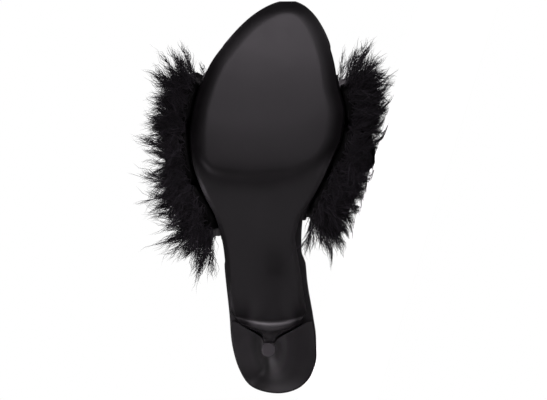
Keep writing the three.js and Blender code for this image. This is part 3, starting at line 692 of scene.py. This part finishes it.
def build_heel(sizes, colours):
    """Rings from the tip's to the seat's, each point going over by the curves of the heel's
    front, back and side, with the breast hollowed by a parabola. The tip is bevelled, and the
    seat closes over the bed."""
    seat = seat_loop(48, 24)
    tip = heel_tip(seat)
    rings = []
    seat_height = bed_height(seat[:, 0]) - CURVED_GAP
    ahead = seat[:, 0] > SEAT_MIDDLE
    breast = seat[:, 0] > SEAT_FRONT - 1.5 * SEAT_INSET
    for level in np.concatenate([[0], np.linspace(0, 1, 64)]):
        reach = np.where(ahead, heel_front(level), heel_back(level))
        across = tip[:, 1] + (seat[:, 1] - tip[:, 1]) * heel_side(level)
        half = np.where(across > 0, breast_half(big_half, level), breast_half(little_half, level))
        hollow = sizes.breast_hollow / MM * heel_front(level) * hollow_at(across / half)
        along = tip[:, 0] + (seat[:, 0] - tip[:, 0]) * reach - breast * hollow
        rings.append(stacked(along, across, TIP_TOP + (seat_height - TIP_TOP) * level))
    rings[0][:, :2] += ([TIP_ALONG, 0] - rings[0][:, :2]) * TIP_BEVEL
    for share in (0.35, 0.7):
        inner = seat + ([SEAT_MIDDLE, 0] - seat) * share
        rings.append(np.column_stack([inner, bed_height(inner[:, 0]) - CURVED_GAP]))
    made = ring_solid("heel_block", np.array(rings), sharp=35)
    # Calf glued over the block and polished: a little lighter than the sole, fine in the grain,
    # with a soft gloss that runs down the flare
    material = leather("Polished black heel cover", colours.heel, colours.heel_light,
                       roughness=0.38, grain_mm=0.7, grain=0.08, coat=0.45, coat_roughness=0.32,
                       mottle_mm=9.0)
    finish_piece(made, "heel_cover", material, "heel")


def build_top_piece(colours):
    """Profile of the moulded tip turned round its middle: flat face, small round, straight side."""
    profile = np.array([(0.3, 0), (TIP_RADIUS - 0.7, 0), (TIP_RADIUS - 0.35, 0.07),
                        (TIP_RADIUS - 0.1, 0.3), (TIP_RADIUS, 0.65), (TIP_RADIUS, TOP_PIECE - 0.2),
                        (TIP_RADIUS - 0.2, TOP_PIECE), (0.3, TOP_PIECE)])
    turn = np.linspace(0, 2 * np.pi, 49)[:-1]
    radius = profile[:, :1]
    rings = stacked(TIP_ALONG + radius * np.cos(turn), radius * np.sin(turn), profile[:, 1:])
    made = ring_solid("heel_top_piece", rings, sharp=40)
    # Moulded hard rubber: the one matte, pale spot under the shoe
    material = plain_rubber("Dark grey top-piece rubber", colours.top_piece, 0.6)
    finish_piece(made, "top_piece", material, "top_piece")


# Insole

# How far the upper's edges run in between insole and outsole, the sock's thickness and the
# radius of its wrapped edge, the pressed line round it as distance in and depth, and how far
# from the band's edges the rebate starts and is full
LASTING = 8.0
SOCK = 4.5
SOCK_EDGE = 1.7
PRESSED = ((3.0, 0.03), (3.6, 0.25), (3.9, 0.3), (4.2, 0.25), (4.8, 0.03), (6, 0))
HOLD_FADE = (16, 8)


def band_hold(along):
    """1 along the band's hold on the sole, 0 away from it."""
    rear = BAND_EDGES[:, 1].min() * LENGTH
    front = BAND_EDGES[:, 2].max() * LENGTH
    far, near = HOLD_FADE
    behind = smoothstep(along, rear - far, rear - near)
    return behind * (1 - smoothstep(along, front + near, front + far))


def build_insole(colours):
    """The outline's loop stood in or out ring by ring: flat underneath with a rebate for the
    band, a quarter round at the edge, a pressed line near it, and flat to the spine on top."""
    loop = rim_loop(150)
    rebate = (WALL + CURVED_GAP) * band_hold(loop[:, 0])
    spine = spine_loop(loop)
    inner = inset_loop(loop, LASTING + CURVED_GAP + 0.6)
    step = inset_loop(loop, LASTING + CURVED_GAP)
    rings = []

    def ring(plan, up):
        rings.append(bed_point(plan[:, 0], plan[:, 1], up))

    ring(spine, 0.0)
    ring(inner + (spine - inner) * 0.5, 0.0)
    ring(inner, 0.0)
    ring(step, rebate)
    ring(inset_loop(loop, rebate + 0.6), rebate)
    ring(inset_loop(loop, rebate + 0.2), rebate + 0.15)
    ring(inset_loop(loop, rebate), rebate + 0.6)
    for degrees in (0, 22, 45, 68, 90):
        t = math.radians(degrees)
        ring(inset_loop(loop, rebate + SOCK_EDGE * (1 - math.cos(t))),
             SOCK - SOCK_EDGE + SOCK_EDGE * math.sin(t))
    for distance, drop in PRESSED:
        ring(inset_loop(loop, rebate + distance), SOCK - drop)
    edge = inset_loop(loop, rebate + PRESSED[-1][0])
    for share in (0.15, 0.35, 0.6, 0.8, 1.0):
        plan = edge + (spine - edge) * share
        ring(plan, SOCK)
    made = ring_solid("insole_sock", np.array(rings), caps="none", sharp=50)
    # Soft nappa over foam: unpolished, with open pores that break up the light
    material = leather("Black nappa sock lining", colours.lining, colours.lining_light,
                       roughness=0.46, grain_mm=0.8, grain=0.35, coat=0.0, coat_roughness=0.3)
    finish_piece(made, "lining_leather", material, "insole")


# Band

# How square the band's arch is over the foot, its corner at the sole, and how far its ridge
# stands to the big-toe side as a share of the half width
SQUARE = 2.5
CORNER = WALL + 0.5
RIDGE_ASIDE = 0.08


def arch_point(along, around):
    """Outer face of the band: a squared arch over the sole's outline, the cosine and the sine of
    the turn each to the power 2 / SQUARE, its ridge a little to the big-toe side. Around runs
    from 0 at the big-toe edge to 1 at the little-toe edge."""
    along, around = np.broadcast_arrays(np.asarray(along, float), np.asarray(around, float))
    power = 2 / SQUARE
    turn = np.pi * np.clip(around, 0, 1)
    side = np.sign(np.cos(turn)) * np.abs(np.cos(turn)) ** power
    lift = np.abs(np.sin(turn)) ** power
    middle = (big_half(along) - little_half(along)) / 2
    half = (big_half(along) + little_half(along)) / 2
    across = middle + half * (side + RIDGE_ASIDE * lift * (1 - np.abs(side)))
    base = bed_point(along, across, CORNER)
    base[..., 2] += INSTEP * ridge_curve(along / LENGTH) * lift
    return base


def arch_frame(along, around):
    """Directions on that face: along the foot, around it, and straight out."""
    low = np.maximum(around - 0.01, 0)
    high = np.minimum(around + 0.01, 1)
    forward = unit(arch_point(along + 1, around) - arch_point(along - 1, around))
    over = unit(arch_point(along, high) - arch_point(along, low))
    return forward, over, unit(np.cross(over, forward))


def band_along(around, share):
    """Place along the foot at a share of the way from the band's rear edge to its front edge."""
    rear, front = rear_curve(around), front_curve(around)
    return LENGTH * (rear + (front - rear) * share)


def build_band(colours):
    """Outer and inner face of the arch, a wall apart square to it, each carried down to the sole
    and folded in under the insole, and closed at the band's front and rear edges."""
    around = np.linspace(0, 1, 121)
    shares = share_of(np.linspace(0, 1, 41))

    def fold(side, reach, up):
        along = band_along(0.0 if side > 0 else 1.0, shares)
        half = big_half if side > 0 else little_half
        slope = half(along + 0.5) - half(along - 0.5)
        inward = unit(stacked(slope, -1.0))
        across = side * (half(along) + reach * inward[:, 1])
        return bed_point(along + reach * inward[:, 0], across, up)

    def line(depth, corners):
        along = band_along(around[None, :], shares[:, None])
        grid = np.broadcast_to(around, along.shape)
        out = arch_frame(along, grid)[2]
        arch = arch_point(along, grid) - out * depth
        start = [fold(1, *c) for c in corners]
        end = [fold(-1, *c) for c in reversed(corners)]
        return np.concatenate([np.stack(start, 1), arch, np.stack(end, 1)], 1)

    outer = line(0.0, [(LASTING, 0.0), (CORNER, 0.0), (1.2, 0.15), (0.5, 0.6), (0.15, 1.2)])
    inner = line(WALL, [(LASTING, WALL), (CORNER + 0.6, WALL), (CORNER + 0.2, WALL + 0.05),
                        (WALL + 0.25, WALL + 0.2), (WALL + 0.08, WALL + 0.35)])
    rings = np.concatenate([outer, inner[:, ::-1]], 1)
    made = ring_solid("band", rings, caps="strip", sharp=40)
    # Nappa with its own face left on: softly glossy with a fine, lively grain
    material = leather("Black nappa band leather", colours.band, colours.band_light,
                       roughness=0.42, grain_mm=0.8, grain=0.35, coat=0.0, coat_roughness=0.3)
    finish_piece(made, "band_leather", material, "upper")


# Feathers

# Height of a row's middle as a share of its reach, the angle at which the band cuts its round
# section, and the share of the tufts that leave a row's two ends
MIDDLE = 0.4
FOOT_ANGLE = math.asin(MIDDLE / (1 - MIDDLE))
AT_END = 0.48

# Over the floor, in millimetres: the least height of a barb, the softness of the bend, the height
# that a loose barb may keep, and the height from which the floor is felt. Then how far a pressed
# barb spreads for each millimetre it is lifted, and how far one may hang below the sole.
LEAST_HEIGHT = 0.35
SOFT_BEND = 2.5
LOOSE = 6
FELT_FROM = 12
SPREADING = 0.45
HANG = 7

# Quills: their sway along the row and how much it grows towards the row's ends, their least lift
# off the band, and how far from the middle of the row they stand, as a share of its half width.
# At the row's ends: their sway, and how far under the band's edge they start. Then the reach:
# the share of the core, the least and the further share of the row's own reach past it, and how
# they bow, in millimetres.
SWAY = 0.28
END_GROWTH = 0.45
LEAST_LIFT = 0.12
STAND = 0.62
END_SWAY = (-0.3, 0.35)
END_DROP = 9
IN_CORE = 0.8
PAST_CORE = (0.25, 1.55)
BOW = 3.0

# Barbs: where on the quill they leave it and how long they run, as shares of its length; the
# flame's width in millimetres, where it closes and where its last barbs end; the share of barbs
# that stray, how much wider and further they run; how a barb swings out along its run, how much
# it curls, and how much it thins
LEAVE = (0.02, 0.8)
RUN = (0.3, 0.5)
FLAME = (1.8, 3.6)
CLOSED = 1.12
TIPS = (0.9, 1.16)
STRAY = 0.15
STRAY_WIDE = 2.0
STRAY_PAST = 0.2
SWING = ((0.0, 0.0), (0.35, 0.55), (0.7, 0.9), (1.0, 1.0))
CURL = (0.35, 0.5)
TAPER = 0.75

# The core: its size beside the row's full section, its rings past the band's lower edges as
# millimetres below them and size, and its least height over the floor
CORE_SIZE = 0.88
CORE_ENDS = np.array([(5.6, 0.3), (4.4, 0.55), (2.8, 0.74), (1.3, 0.84)])
CORE_HEIGHT = 0.4

ROWS = {
    # the span of the band that each row is sewn to; how its barbs fan, in degrees from the toe's
    # direction up to the heel's; how far they reach past the core, in millimetres; and how far
    # to the rear and to the front its end tufts stand, as shares of the row's half width
    "front": (2 / 3, 1.0, 36, 130, 11, -0.95, 0.55),
    "middle": (1 / 3, 2 / 3, 30, 150, 12.5, -0.95, 0.95),
    "rear": (0.0, 1 / 3, 45, 160, 14, -0.55, 0.95),
}


def row_section(row, around, full_reach):
    """A row's cross-section is a circle that the band cuts flat. Returns its place along the
    foot, its half width, the height of its middle and its radius."""
    reach = full_reach * reach_curves[row](around)
    rear, front = [band_along(around, share) for share in ROWS[row][:2]]
    half = (front - rear) / 2 / math.cos(FOOT_ANGLE)
    return (rear + front) / 2, half, MIDDLE * reach, (1 - MIDDLE) * reach


def press(points, middle, lie):
    """Feathers that would reach through the floor bend and spread along it instead, away from
    the middle of their row and a little above it: the height goes over to the logarithm of 1
    plus its exponential. None hang far below the sole, by a hyperbolic tangent."""
    height = above_floor(points)
    bent = SOFT_BEND * np.logaddexp(0, height / SOFT_BEND)
    kept = LEAST_HEIGHT + lie * smoothstep(height, FELT_FROM, 0) + bent
    lifted = np.where(height < FELT_FROM, kept - height, 0.0)
    aside = points - middle
    aside = unit(aside - (aside @ OFF_FLOOR)[..., None] * OFF_FLOOR)
    spread = SPREADING * np.maximum(lifted, 0)
    points = points + OFF_FLOOR * lifted[..., None] + aside * spread[..., None]
    below = np.minimum(points[..., 2], 0)
    points[..., 2] = points[..., 2] - below - HANG * np.tanh(-below / HANG)
    return points


def tapered_strands(paths, width):
    """Closed three-sided strands along paths of points, wide at the root and drawn to a point
    at the tip. Paths is strands x stations x 3, width one number a strand."""
    count, stations = paths.shape[:2]
    run = unit(np.gradient(paths, axis=1))
    side = unit(np.cross(run, np.array([0.31, 0.53, 0.79])))
    other = np.cross(run, side)
    taper = (1 - TAPER * np.linspace(0, 1, stations))[:-1]
    turn = 2 * np.pi * np.arange(3) / 3
    spoke = side[:, :-1, None] * np.cos(turn)[:, None] + other[:, :-1, None] * np.sin(turn)[:, None]
    body = paths[:, :-1, None] + spoke * (width[:, None] * taper / 2)[..., None, None]
    points = np.concatenate([body.reshape(count, -1, 3), paths[:, -1:]], 1)
    k = np.arange(3)
    after = (k + 1) % 3
    faces = [stacked(k, after, after + 3) + 3 * r for r in range(stations - 2)]
    faces += [stacked(k, after + 3, k + 3) + 3 * r for r in range(stations - 2)]
    last = 3 * (stations - 2)
    faces.append(stacked(last + k, last + after, last + 3))
    faces = np.concatenate(faces)
    every = faces + (np.arange(count) * points.shape[1])[:, None, None]
    return points.reshape(-1, 3), every.reshape(-1, 3), points.shape[1]


def row_tufts(rng, row, tufts, full_reach):
    """Quills of a row: where each leaves the row's middle line, its tip, and how it bows. The
    tips reach past the core by a few millimetres and a few of them by more. Part of them leave
    the row's two ends and lie under it, where the row comes down to the sole."""
    first, last, past, back, fore = ROWS[row][2:]
    at_end = rng.random(tufts) < AT_END
    around = np.where(at_end, rng.integers(0, 2, tufts), rng.uniform(0.0, 1.0, tufts))
    along, half, middle, radius = row_section(row, around, full_reach)
    forward, over, out = arch_frame(along, around)
    angle = np.radians(rng.uniform(first, last, tufts))
    down = 2 * around - 1
    sway = rng.normal(0, SWAY, tufts) + END_GROWTH * down ** 5
    sway = np.where(at_end, down * rng.uniform(*END_SWAY, tufts), sway)
    below = at_end * down * rng.uniform(0, END_DROP, tufts)
    heading = unit(forward * np.cos(angle)[:, None]
                   + out * np.maximum(np.sin(angle), LEAST_LIFT)[:, None] + over * sway[:, None])
    core = 1 / np.hypot(np.cos(angle) / half, np.sin(angle) / radius)
    shift = half * np.where(at_end, rng.uniform(back, fore, tufts),
                            rng.uniform(-STAND, STAND, tufts))
    reach = core * IN_CORE + past * (PAST_CORE[0] + PAST_CORE[1] * rng.beta(1.8, 2.6, tufts))
    reach = reach - np.where(at_end, 0.15, 0.35) * np.abs(shift)
    rise = CURVED_GAP + np.where(at_end, rng.uniform(0.1, 0.6, tufts), 0.6) * middle
    centre = arch_point(along + shift, around) + out * rise[:, None] + over * below[:, None]
    bow = unit(np.cross(heading, rng.normal(size=(tufts, 3)))) * rng.normal(0, BOW, (tufts, 1))
    return centre, heading * reach[:, None], bow


def quill_point(centre, run, bow, share):
    """Point on each bowed quill: a straight run plus a bend that grows with the square."""
    share = share[..., None]
    return centre + run * share + bow * share ** 2


def row_barbs(rng, row, tufts, each, full_reach):
    """Barbs in tufts shaped like flames: every barb leaves its quill, swings out to the flame's
    side and follows the quill towards its tip, where the flame closes. A few barbs stray."""
    centre, run, bow = row_tufts(rng, row, tufts, full_reach)
    index = np.repeat(np.arange(tufts), each)
    total = len(index)
    centre, run, bow = centre[index], run[index], bow[index]
    start = rng.uniform(*LEAVE, total)
    span = rng.uniform(*RUN, total)
    stray = rng.random(total) < STRAY
    wide = np.repeat(rng.uniform(*FLAME, tufts), each)
    wide = np.where(stray, wide * STRAY_WIDE, wide)
    aside = rng.normal(size=(total, 3))
    aside = unit(aside - (aside * unit(run)).sum(-1, keepdims=True) * unit(run))

    def flame(share):
        return (wide * np.sqrt(np.clip(CLOSED - share, 0, 1)) * (1 + STRAY_PAST * stray))[:, None]

    ends = np.minimum(start + span, rng.uniform(*TIPS, total)) + STRAY_PAST * stray
    stations = []
    for t, out in SWING:
        share = start + (ends - start) * t
        curl = rng.normal(0, CURL[0] + CURL[1] * t, (total, 3)) * (t > 0)
        stations.append(quill_point(centre, run, bow, share) + aside * flame(share) * out + curl)
    paths = np.stack(stations, 1)
    lie = np.repeat(LOOSE * rng.random(tufts) ** 2, each)
    return press(paths, centre[:, None], lie[:, None])


def build_core(row, full_reach):
    """The dense down under the barbs: the row's round section carried over the foot, lumpy, and
    rounded off under the band's lower edges."""
    low, high = ROWS[row][:2]
    around = np.concatenate([np.zeros(4), np.linspace(0, 1, 61), np.ones(4)])
    below, size = [np.concatenate([column, np.full(61, middle), column[::-1]])
                   for column, middle in zip(CORE_ENDS.T, (0.0, CORE_SIZE))]
    along, half, middle, radius = row_section(row, around, full_reach)
    over, out = arch_frame(along, around)[1:]
    angle = np.linspace(-FOOT_ANGLE, np.pi + FOOT_ANGLE, 25)
    lump = 0.9 + 0.1 * np.sin(23 * around[:, None] + 5 * angle + 3 * low) \
        * np.sin(9 * angle - 31 * around[:, None])
    along_off = half[:, None] * np.cos(angle) * lump
    off = middle[:, None] + radius[:, None] * np.sin(angle) * lump
    foot = half[:, None] * math.cos(FOOT_ANGLE) * np.linspace(-0.8, 0.8, 5)
    along_off = np.concatenate([along_off, foot * 0.9], 1)
    beside_row = np.where(along_off > 0, high < 1, low > 0)
    narrow = size * (1 - 0.3 * smoothstep(np.abs(2 * around - 1), 0.75, 1))
    along_off = along_off * np.where(beside_row, size[:, None] ** 0.3, narrow[:, None])
    off = np.concatenate([off, np.zeros((len(around), 5))], 1)
    off = CURVED_GAP + 0.1 * below[:, None] + np.maximum(off, 0) * size[:, None]
    rings = arch_point(along[:, None] + along_off, around[:, None]) + out[:, None] * off[..., None]
    rings = rings + (over * (np.where(around > 0.5, 1, -1) * below)[:, None])[:, None]
    rows = [band_along(around, share)[:, None] for share in (low, high)]
    if low > 0:
        rings[..., 0] = np.maximum(rings[..., 0], rows[0] + 0.1)
    if high < 1:
        rings[..., 0] = np.minimum(rings[..., 0], rows[1] - 0.1)
    rings = rings + OFF_FLOOR * np.maximum(0, CORE_HEIGHT - above_floor(rings))[..., None]
    return ring_solid(f"down_{row}", rings)


def build_feathers(row, sizes, colours, seed):
    """A row of marabou: the core of down, and barbs as thin strands, each with its own shade."""
    rng = np.random.default_rng(seed)
    full_reach = sizes.feather_reach / MM
    # Marabou dyed black and steamed: each barb is black at heart and catches a little cold light
    material = down("Dyed black marabou barbs", 0.35, colours.barb_dark, colours.barb_light)
    # Down under the barbs: real down, but flat black and without gloss as painted shade, so that no
    # core shows between them
    shaded = down("Shaded black down", 0.1, colours.core)
    core = build_core(row, full_reach)
    finish_piece(core, "feather", shaded, f"marabou_{row}")
    paths = row_barbs(rng, row, sizes.tufts, sizes.barbs, full_reach)
    width = rng.uniform(sizes.barb_fine / MM, sizes.barb_coarse / MM, len(paths))
    points, faces, corners = tapered_strands(paths, width)
    barbs = make_object(f"barbs_{row}", to_row(points), faces)
    tone = np.repeat(np.clip(rng.beta(1.2, 3.0, len(paths)), 0, 1), corners)
    set_attribute(barbs, "shade", tone)
    finish_piece(barbs, "feather", material)


# Stage, lights and camera

# Points that lights face, in the shoe's millimetres
FOOT = (116, 0, 20)
TREAD = (150, 0, 0)
BREAST = (46, 0, 12)
HEEL = (35, 0, 30)
LIGHTS = [
    # name; place along, across and out in metres; size in metres; watts; aim; spread in degrees
    ("toe_softbox", (0.75, 0.0, -0.8), (0.8, 0.7), 2.9, FOOT, 180),
    ("tread_upper", (0.4, 0.0, -1.0), (0.3, 0.6), 0.27, TREAD, 180),
    ("tread_lower", (0.22, 0.0, -1.1), (0.25, 0.6), 0.5, TREAD, 180),
    ("breast_light", (0.35, 0.0, -0.35), (0.1, 0.3), 0.014, BREAST, 16),
    ("heel_left", (-0.12, -0.32, -0.28), (0.18, 0.3), 0.4, HEEL, 180),
    ("heel_side", (-0.3, -0.8, 0.12), (0.4, 0.3), 0.1, HEEL, 180),
    ("heel_behind", (-0.15, -0.5, 0.5), (0.4, 0.4), 0.03, HEEL, 180),
    ("upper_panel", (0.6, -0.5, 1.0), (1.0, 1.0), 4, FOOT, 180),
    ("vamp_panel", (1.0, -0.6, 0.6), (1.0, 1.0), 2.5, FOOT, 180),
    ("heel_rear", (-0.55, -0.45, 0.3), (0.1, 0.1), 0.0005, HEEL, 14),
    ("heel_low", (-0.35, -0.6, -0.45), (0.1, 0.1), 0.004, HEEL, 14),
]
LIGHT_COLOUR = (1.0, 0.91, 1.0)

# The light that the surroundings give, half the floor's side in metres, and the distances in
# metres between which the paper's glow goes over from a lower strength near the shoe, a painted
# shadow, to a higher one
ROOM_LIGHT = 0.06
FLOOR_SIZE = 6.0
GLOW_REACH = (0.14, 0.42)
SHADOWED_GLOW = (0.96, 1.1)

# The camera's place and aim in the shoe's millimetres, and its least height over the floor
CAMERA = (116.3, 0.0, -1060.0)
CAMERA_AIM = (116.0, 2.0, 20.0)
CAMERA_HEIGHT = 0.004
SENSOR = 36
FOCAL_LENGTH = 122.0


def shoe_light(name, place, size, power, aim, spread):
    """Area light placed in the shoe's own directions, facing a point of the shoe. The camera
    doesn't see it."""
    data = bpy.data.lights.new(name, "AREA")
    data.shape = "RECTANGLE"
    data.size, data.size_y = size
    data.energy = power
    data.spread = math.radians(spread)
    data.color = LIGHT_COLOUR
    made = bpy.data.objects.new(name, data)
    made.visible_camera = False
    spot = Vector(to_row(np.array(place) / MM))
    target = Vector(to_row(np.array(aim, float)))
    made.location = spot
    made.rotation_mode = "QUATERNION"
    made.rotation_quaternion = (target - spot).to_track_quat("-Z", "Y")
    bpy.context.scene.collection.objects.link(made)


def for_camera(tree, shown, other):
    """Shader that the camera sees as the first of two and every other ray as the second."""
    path = add_node(tree, "ShaderNodeLightPath")
    return add_node(tree, "ShaderNodeMixShader", links={
        0: path.outputs["Is Camera Ray"], 1: other.outputs[0], 2: shown.outputs[0]}).outputs[0]


def build_floor():
    """Level floor of white paper that the camera sees glowing white, a little dimmer near the shoe
    as a painted shadow. It casts no shadow, so that lights set below its level still reach the sole."""
    corners = FLOOR_SIZE * np.array([(-1, -1, 0), (1, -1, 0), (1, 1, 0), (-1, 1, 0)])
    floor = make_object("studio_floor", corners, np.array([[0, 1, 2, 3]]), smooth=False)
    material = new_material("White studio paper")
    tree = material.node_tree
    diffuse = add_node(tree, "ShaderNodeBsdfDiffuse", values={"Color": (0.86, 0.86, 0.86, 1)})
    place = add_node(tree, "ShaderNodeTexCoord").outputs["Object"]
    far = add_node(tree, "ShaderNodeVectorMath", {"operation": "LENGTH"}, links={0: place})
    # Painted shadow: the glow the camera sees is a little weaker near the shoe
    glow_with_shadow = add_node(tree, "ShaderNodeMapRange", {"interpolation_type": "SMOOTHSTEP"}, {
        "From Min": GLOW_REACH[0], "From Max": GLOW_REACH[1],
        "To Min": SHADOWED_GLOW[0], "To Max": SHADOWED_GLOW[1]},
        {"Value": far.outputs["Value"]})
    glow = add_node(tree, "ShaderNodeEmission", values={"Color": (1, 1, 1, 1)},
                    links={"Strength": glow_with_shadow.outputs["Result"]})
    black = add_node(tree, "ShaderNodeEmission", values={"Strength": 0.0})
    both = add_node(tree, "ShaderNodeAddShader", links={
        0: diffuse.outputs[0], 1: for_camera(tree, glow, black)})
    add_node(tree, "ShaderNodeOutputMaterial", links={"Surface": both.outputs[0]})
    floor.data.materials.append(material)
    floor.visible_shadow = False


def build_world():
    """White surroundings that give the shoe only a little light."""
    world = bpy.data.worlds.new("studio")
    bpy.context.scene.world = world
    world.use_nodes = True
    tree = world.node_tree
    tree.nodes.clear()
    room = add_node(tree, "ShaderNodeBackground", values={
        "Color": (1, 1, 1, 1), "Strength": ROOM_LIGHT})
    seen = add_node(tree, "ShaderNodeBackground", values={"Color": (1, 1, 1, 1), "Strength": 1.0})
    add_node(tree, "ShaderNodeOutputWorld", links={"Surface": for_camera(tree, seen, room)})


def build_camera():
    """The photograph's view: straight at the sole, rolled so that the toe is up, no lower than
    just over the floor, and with the photograph's scale at the tread."""
    data = bpy.data.cameras.new("camera")
    data.sensor_width = SENSOR
    data.lens = FOCAL_LENGTH
    made = bpy.data.objects.new("camera", data)
    bpy.context.scene.collection.objects.link(made)
    spot = to_row(np.array(CAMERA))
    spot = spot + (CAMERA_HEIGHT - spot[2]) * -ACROSS_AXIS / math.cos(LEAN)
    target = to_row(np.array(CAMERA_AIM))
    ahead = unit(target - spot)
    up = unit(ALONG_AXIS - ahead * (ALONG_AXIS @ ahead))
    right = np.cross(ahead, up)
    turned = np.column_stack([right, up, -ahead])
    made.matrix_world = Matrix.Translation(spot) @ Matrix(turned.tolist()).to_4x4()
    bpy.context.scene.camera = made


# Properties, operators and panel

def length(name, description, default, least, most):
    """Property of a length, given in millimetres and held in metres."""
    return bpy.props.FloatProperty(
        name=name, description=description, default=default * MM, min=least * MM,
        max=most * MM, precision=5, unit="LENGTH")


def colour(name, description, default):
    """Property of a colour, given as sRGB hex."""
    return bpy.props.FloatVectorProperty(
        name=name, description=description, default=linear(default), min=0, max=1,
        subtype="COLOR")


class SlipperSizes(bpy.types.PropertyGroup):
    """Sizes that a user would change."""

    breast_hollow: length("Breast hollow", "Depth of the hollow in the heel's breast", 6.0, 0, 8)
    bevel_width: length("Bevel width", "Width of the bevel round the forefoot pad", 8.5, 2, 14)
    rim_thickness: length("Rim thickness", "Thickness of the pad at its rim", 1.2, 0.6, 3)
    feather_reach: length("Feather reach", "Height of a feather row's section", 22.0, 8, 30)
    barb_fine: length("Finest barb", "Width of the finest barb at its root", 0.24, 0.05, 1)
    barb_coarse: length("Coarsest barb", "Width of the coarsest barb at its root", 0.42, 0.05, 1)
    tufts: bpy.props.IntProperty(
        name="Tufts a row", description="Tufts of barbs on each feather row", default=420, min=50)
    barbs: bpy.props.IntProperty(
        name="Barbs a tuft", description="Barbs in each tuft", default=31, min=4)


class SlipperColours(bpy.types.PropertyGroup):
    """Colours that a user would change. Each leather mottles between a dark and a light one."""

    sole: colour("Sole", "Darker colour of the sole leather", "#0c0b0c")
    sole_light: colour("Sole, light", "Lighter colour of the sole leather", "#121012")
    heel: colour("Heel", "Darker colour of the heel cover", "#141214")
    heel_light: colour("Heel, light", "Lighter colour of the heel cover", "#1a181a")
    top_piece: colour("Top piece", "Colour of the rubber tip", "#3d3b3d")
    lining: colour("Lining", "Darker colour of the sock lining", "#121113")
    lining_light: colour("Lining, light", "Lighter colour of the sock lining", "#191719")
    band: colour("Band", "Darker colour of the band's leather", "#100f11")
    band_light: colour("Band, light", "Lighter colour of the band's leather", "#171517")
    barb_dark: colour("Barbs", "Colour of the darkest barbs", "#020202")
    barb_light: colour("Barbs, light", "Colour of the lightest barbs", "#4c484f")
    # The down's flat black stands in as painted shade between the barbs
    core: colour("Down", "Colour of the down under the barbs", "#040404")


class SLIPPER_OT_stage(bpy.types.Operator):
    """Lays out the floor, the surroundings, the lights and the camera."""

    bl_idname = "slipper.stage"
    bl_label = "Studio"

    def execute(self, context):
        build_floor()
        build_world()
        for light in LIGHTS:
            shoe_light(*light)
        context.scene.view_settings.view_transform = "Standard"
        build_camera()
        return {"FINISHED"}


class SLIPPER_OT_outsole(bpy.types.Operator):
    """Builds the leather sheet with its forefoot pad and the flap down the breast."""

    bl_idname = "slipper.outsole"
    bl_label = "Outsole"

    def execute(self, context):
        build_outsole(context.scene.slipper_sizes, context.scene.slipper_colours)
        return {"FINISHED"}


class SLIPPER_OT_heel(bpy.types.Operator):
    """Builds the covered heel block and the top piece under it."""

    bl_idname = "slipper.heel"
    bl_label = "Heel"

    def execute(self, context):
        build_heel(context.scene.slipper_sizes, context.scene.slipper_colours)
        build_top_piece(context.scene.slipper_colours)
        return {"FINISHED"}


class SLIPPER_OT_insole(bpy.types.Operator):
    """Builds the padded insole with its sock lining."""

    bl_idname = "slipper.insole"
    bl_label = "Insole"

    def execute(self, context):
        build_insole(context.scene.slipper_colours)
        return {"FINISHED"}


class SLIPPER_OT_band(bpy.types.Operator):
    """Builds the leather band over the foot."""

    bl_idname = "slipper.band"
    bl_label = "Band"

    def execute(self, context):
        build_band(context.scene.slipper_colours)
        return {"FINISHED"}


class SLIPPER_OT_feathers(bpy.types.Operator):
    """Builds the three rows of marabou."""

    bl_idname = "slipper.feathers"
    bl_label = "Feathers"

    def execute(self, context):
        scene = context.scene
        for number, row in enumerate(ROWS):
            build_feathers(row, scene.slipper_sizes, scene.slipper_colours, SEED + number)
        return {"FINISHED"}


OPERATORS = [SLIPPER_OT_stage, SLIPPER_OT_outsole, SLIPPER_OT_heel, SLIPPER_OT_insole,
             SLIPPER_OT_band, SLIPPER_OT_feathers]


class SLIPPER_PT_panel(bpy.types.Panel):
    """Lists the slipper's sizes, colours and operators."""

    bl_label = "Slipper"
    bl_space_type = "VIEW_3D"
    bl_region_type = "UI"
    bl_category = "Slipper"

    def draw(self, context):
        for group in (context.scene.slipper_sizes, context.scene.slipper_colours):
            for name in group.__annotations__:
                self.layout.prop(group, name)
        for made in OPERATORS:
            self.layout.operator(made.bl_idname)


CLASSES = [SlipperSizes, SlipperColours, *OPERATORS, SLIPPER_PT_panel]


def register():
    for made in CLASSES:
        bpy.utils.register_class(made)
    bpy.types.Scene.slipper_sizes = bpy.props.PointerProperty(type=SlipperSizes)
    bpy.types.Scene.slipper_colours = bpy.props.PointerProperty(type=SlipperColours)


def unregister():
    del bpy.types.Scene.slipper_colours
    del bpy.types.Scene.slipper_sizes
    for made in reversed(CLASSES):
        bpy.utils.unregister_class(made)


def main():
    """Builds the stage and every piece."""
    register()
    bpy.ops.slipper.stage()
    bpy.ops.slipper.outsole()
    bpy.ops.slipper.heel()
    bpy.ops.slipper.insole()
    bpy.ops.slipper.band()
    bpy.ops.slipper.feathers()


if __name__ == "__main__":
    main()
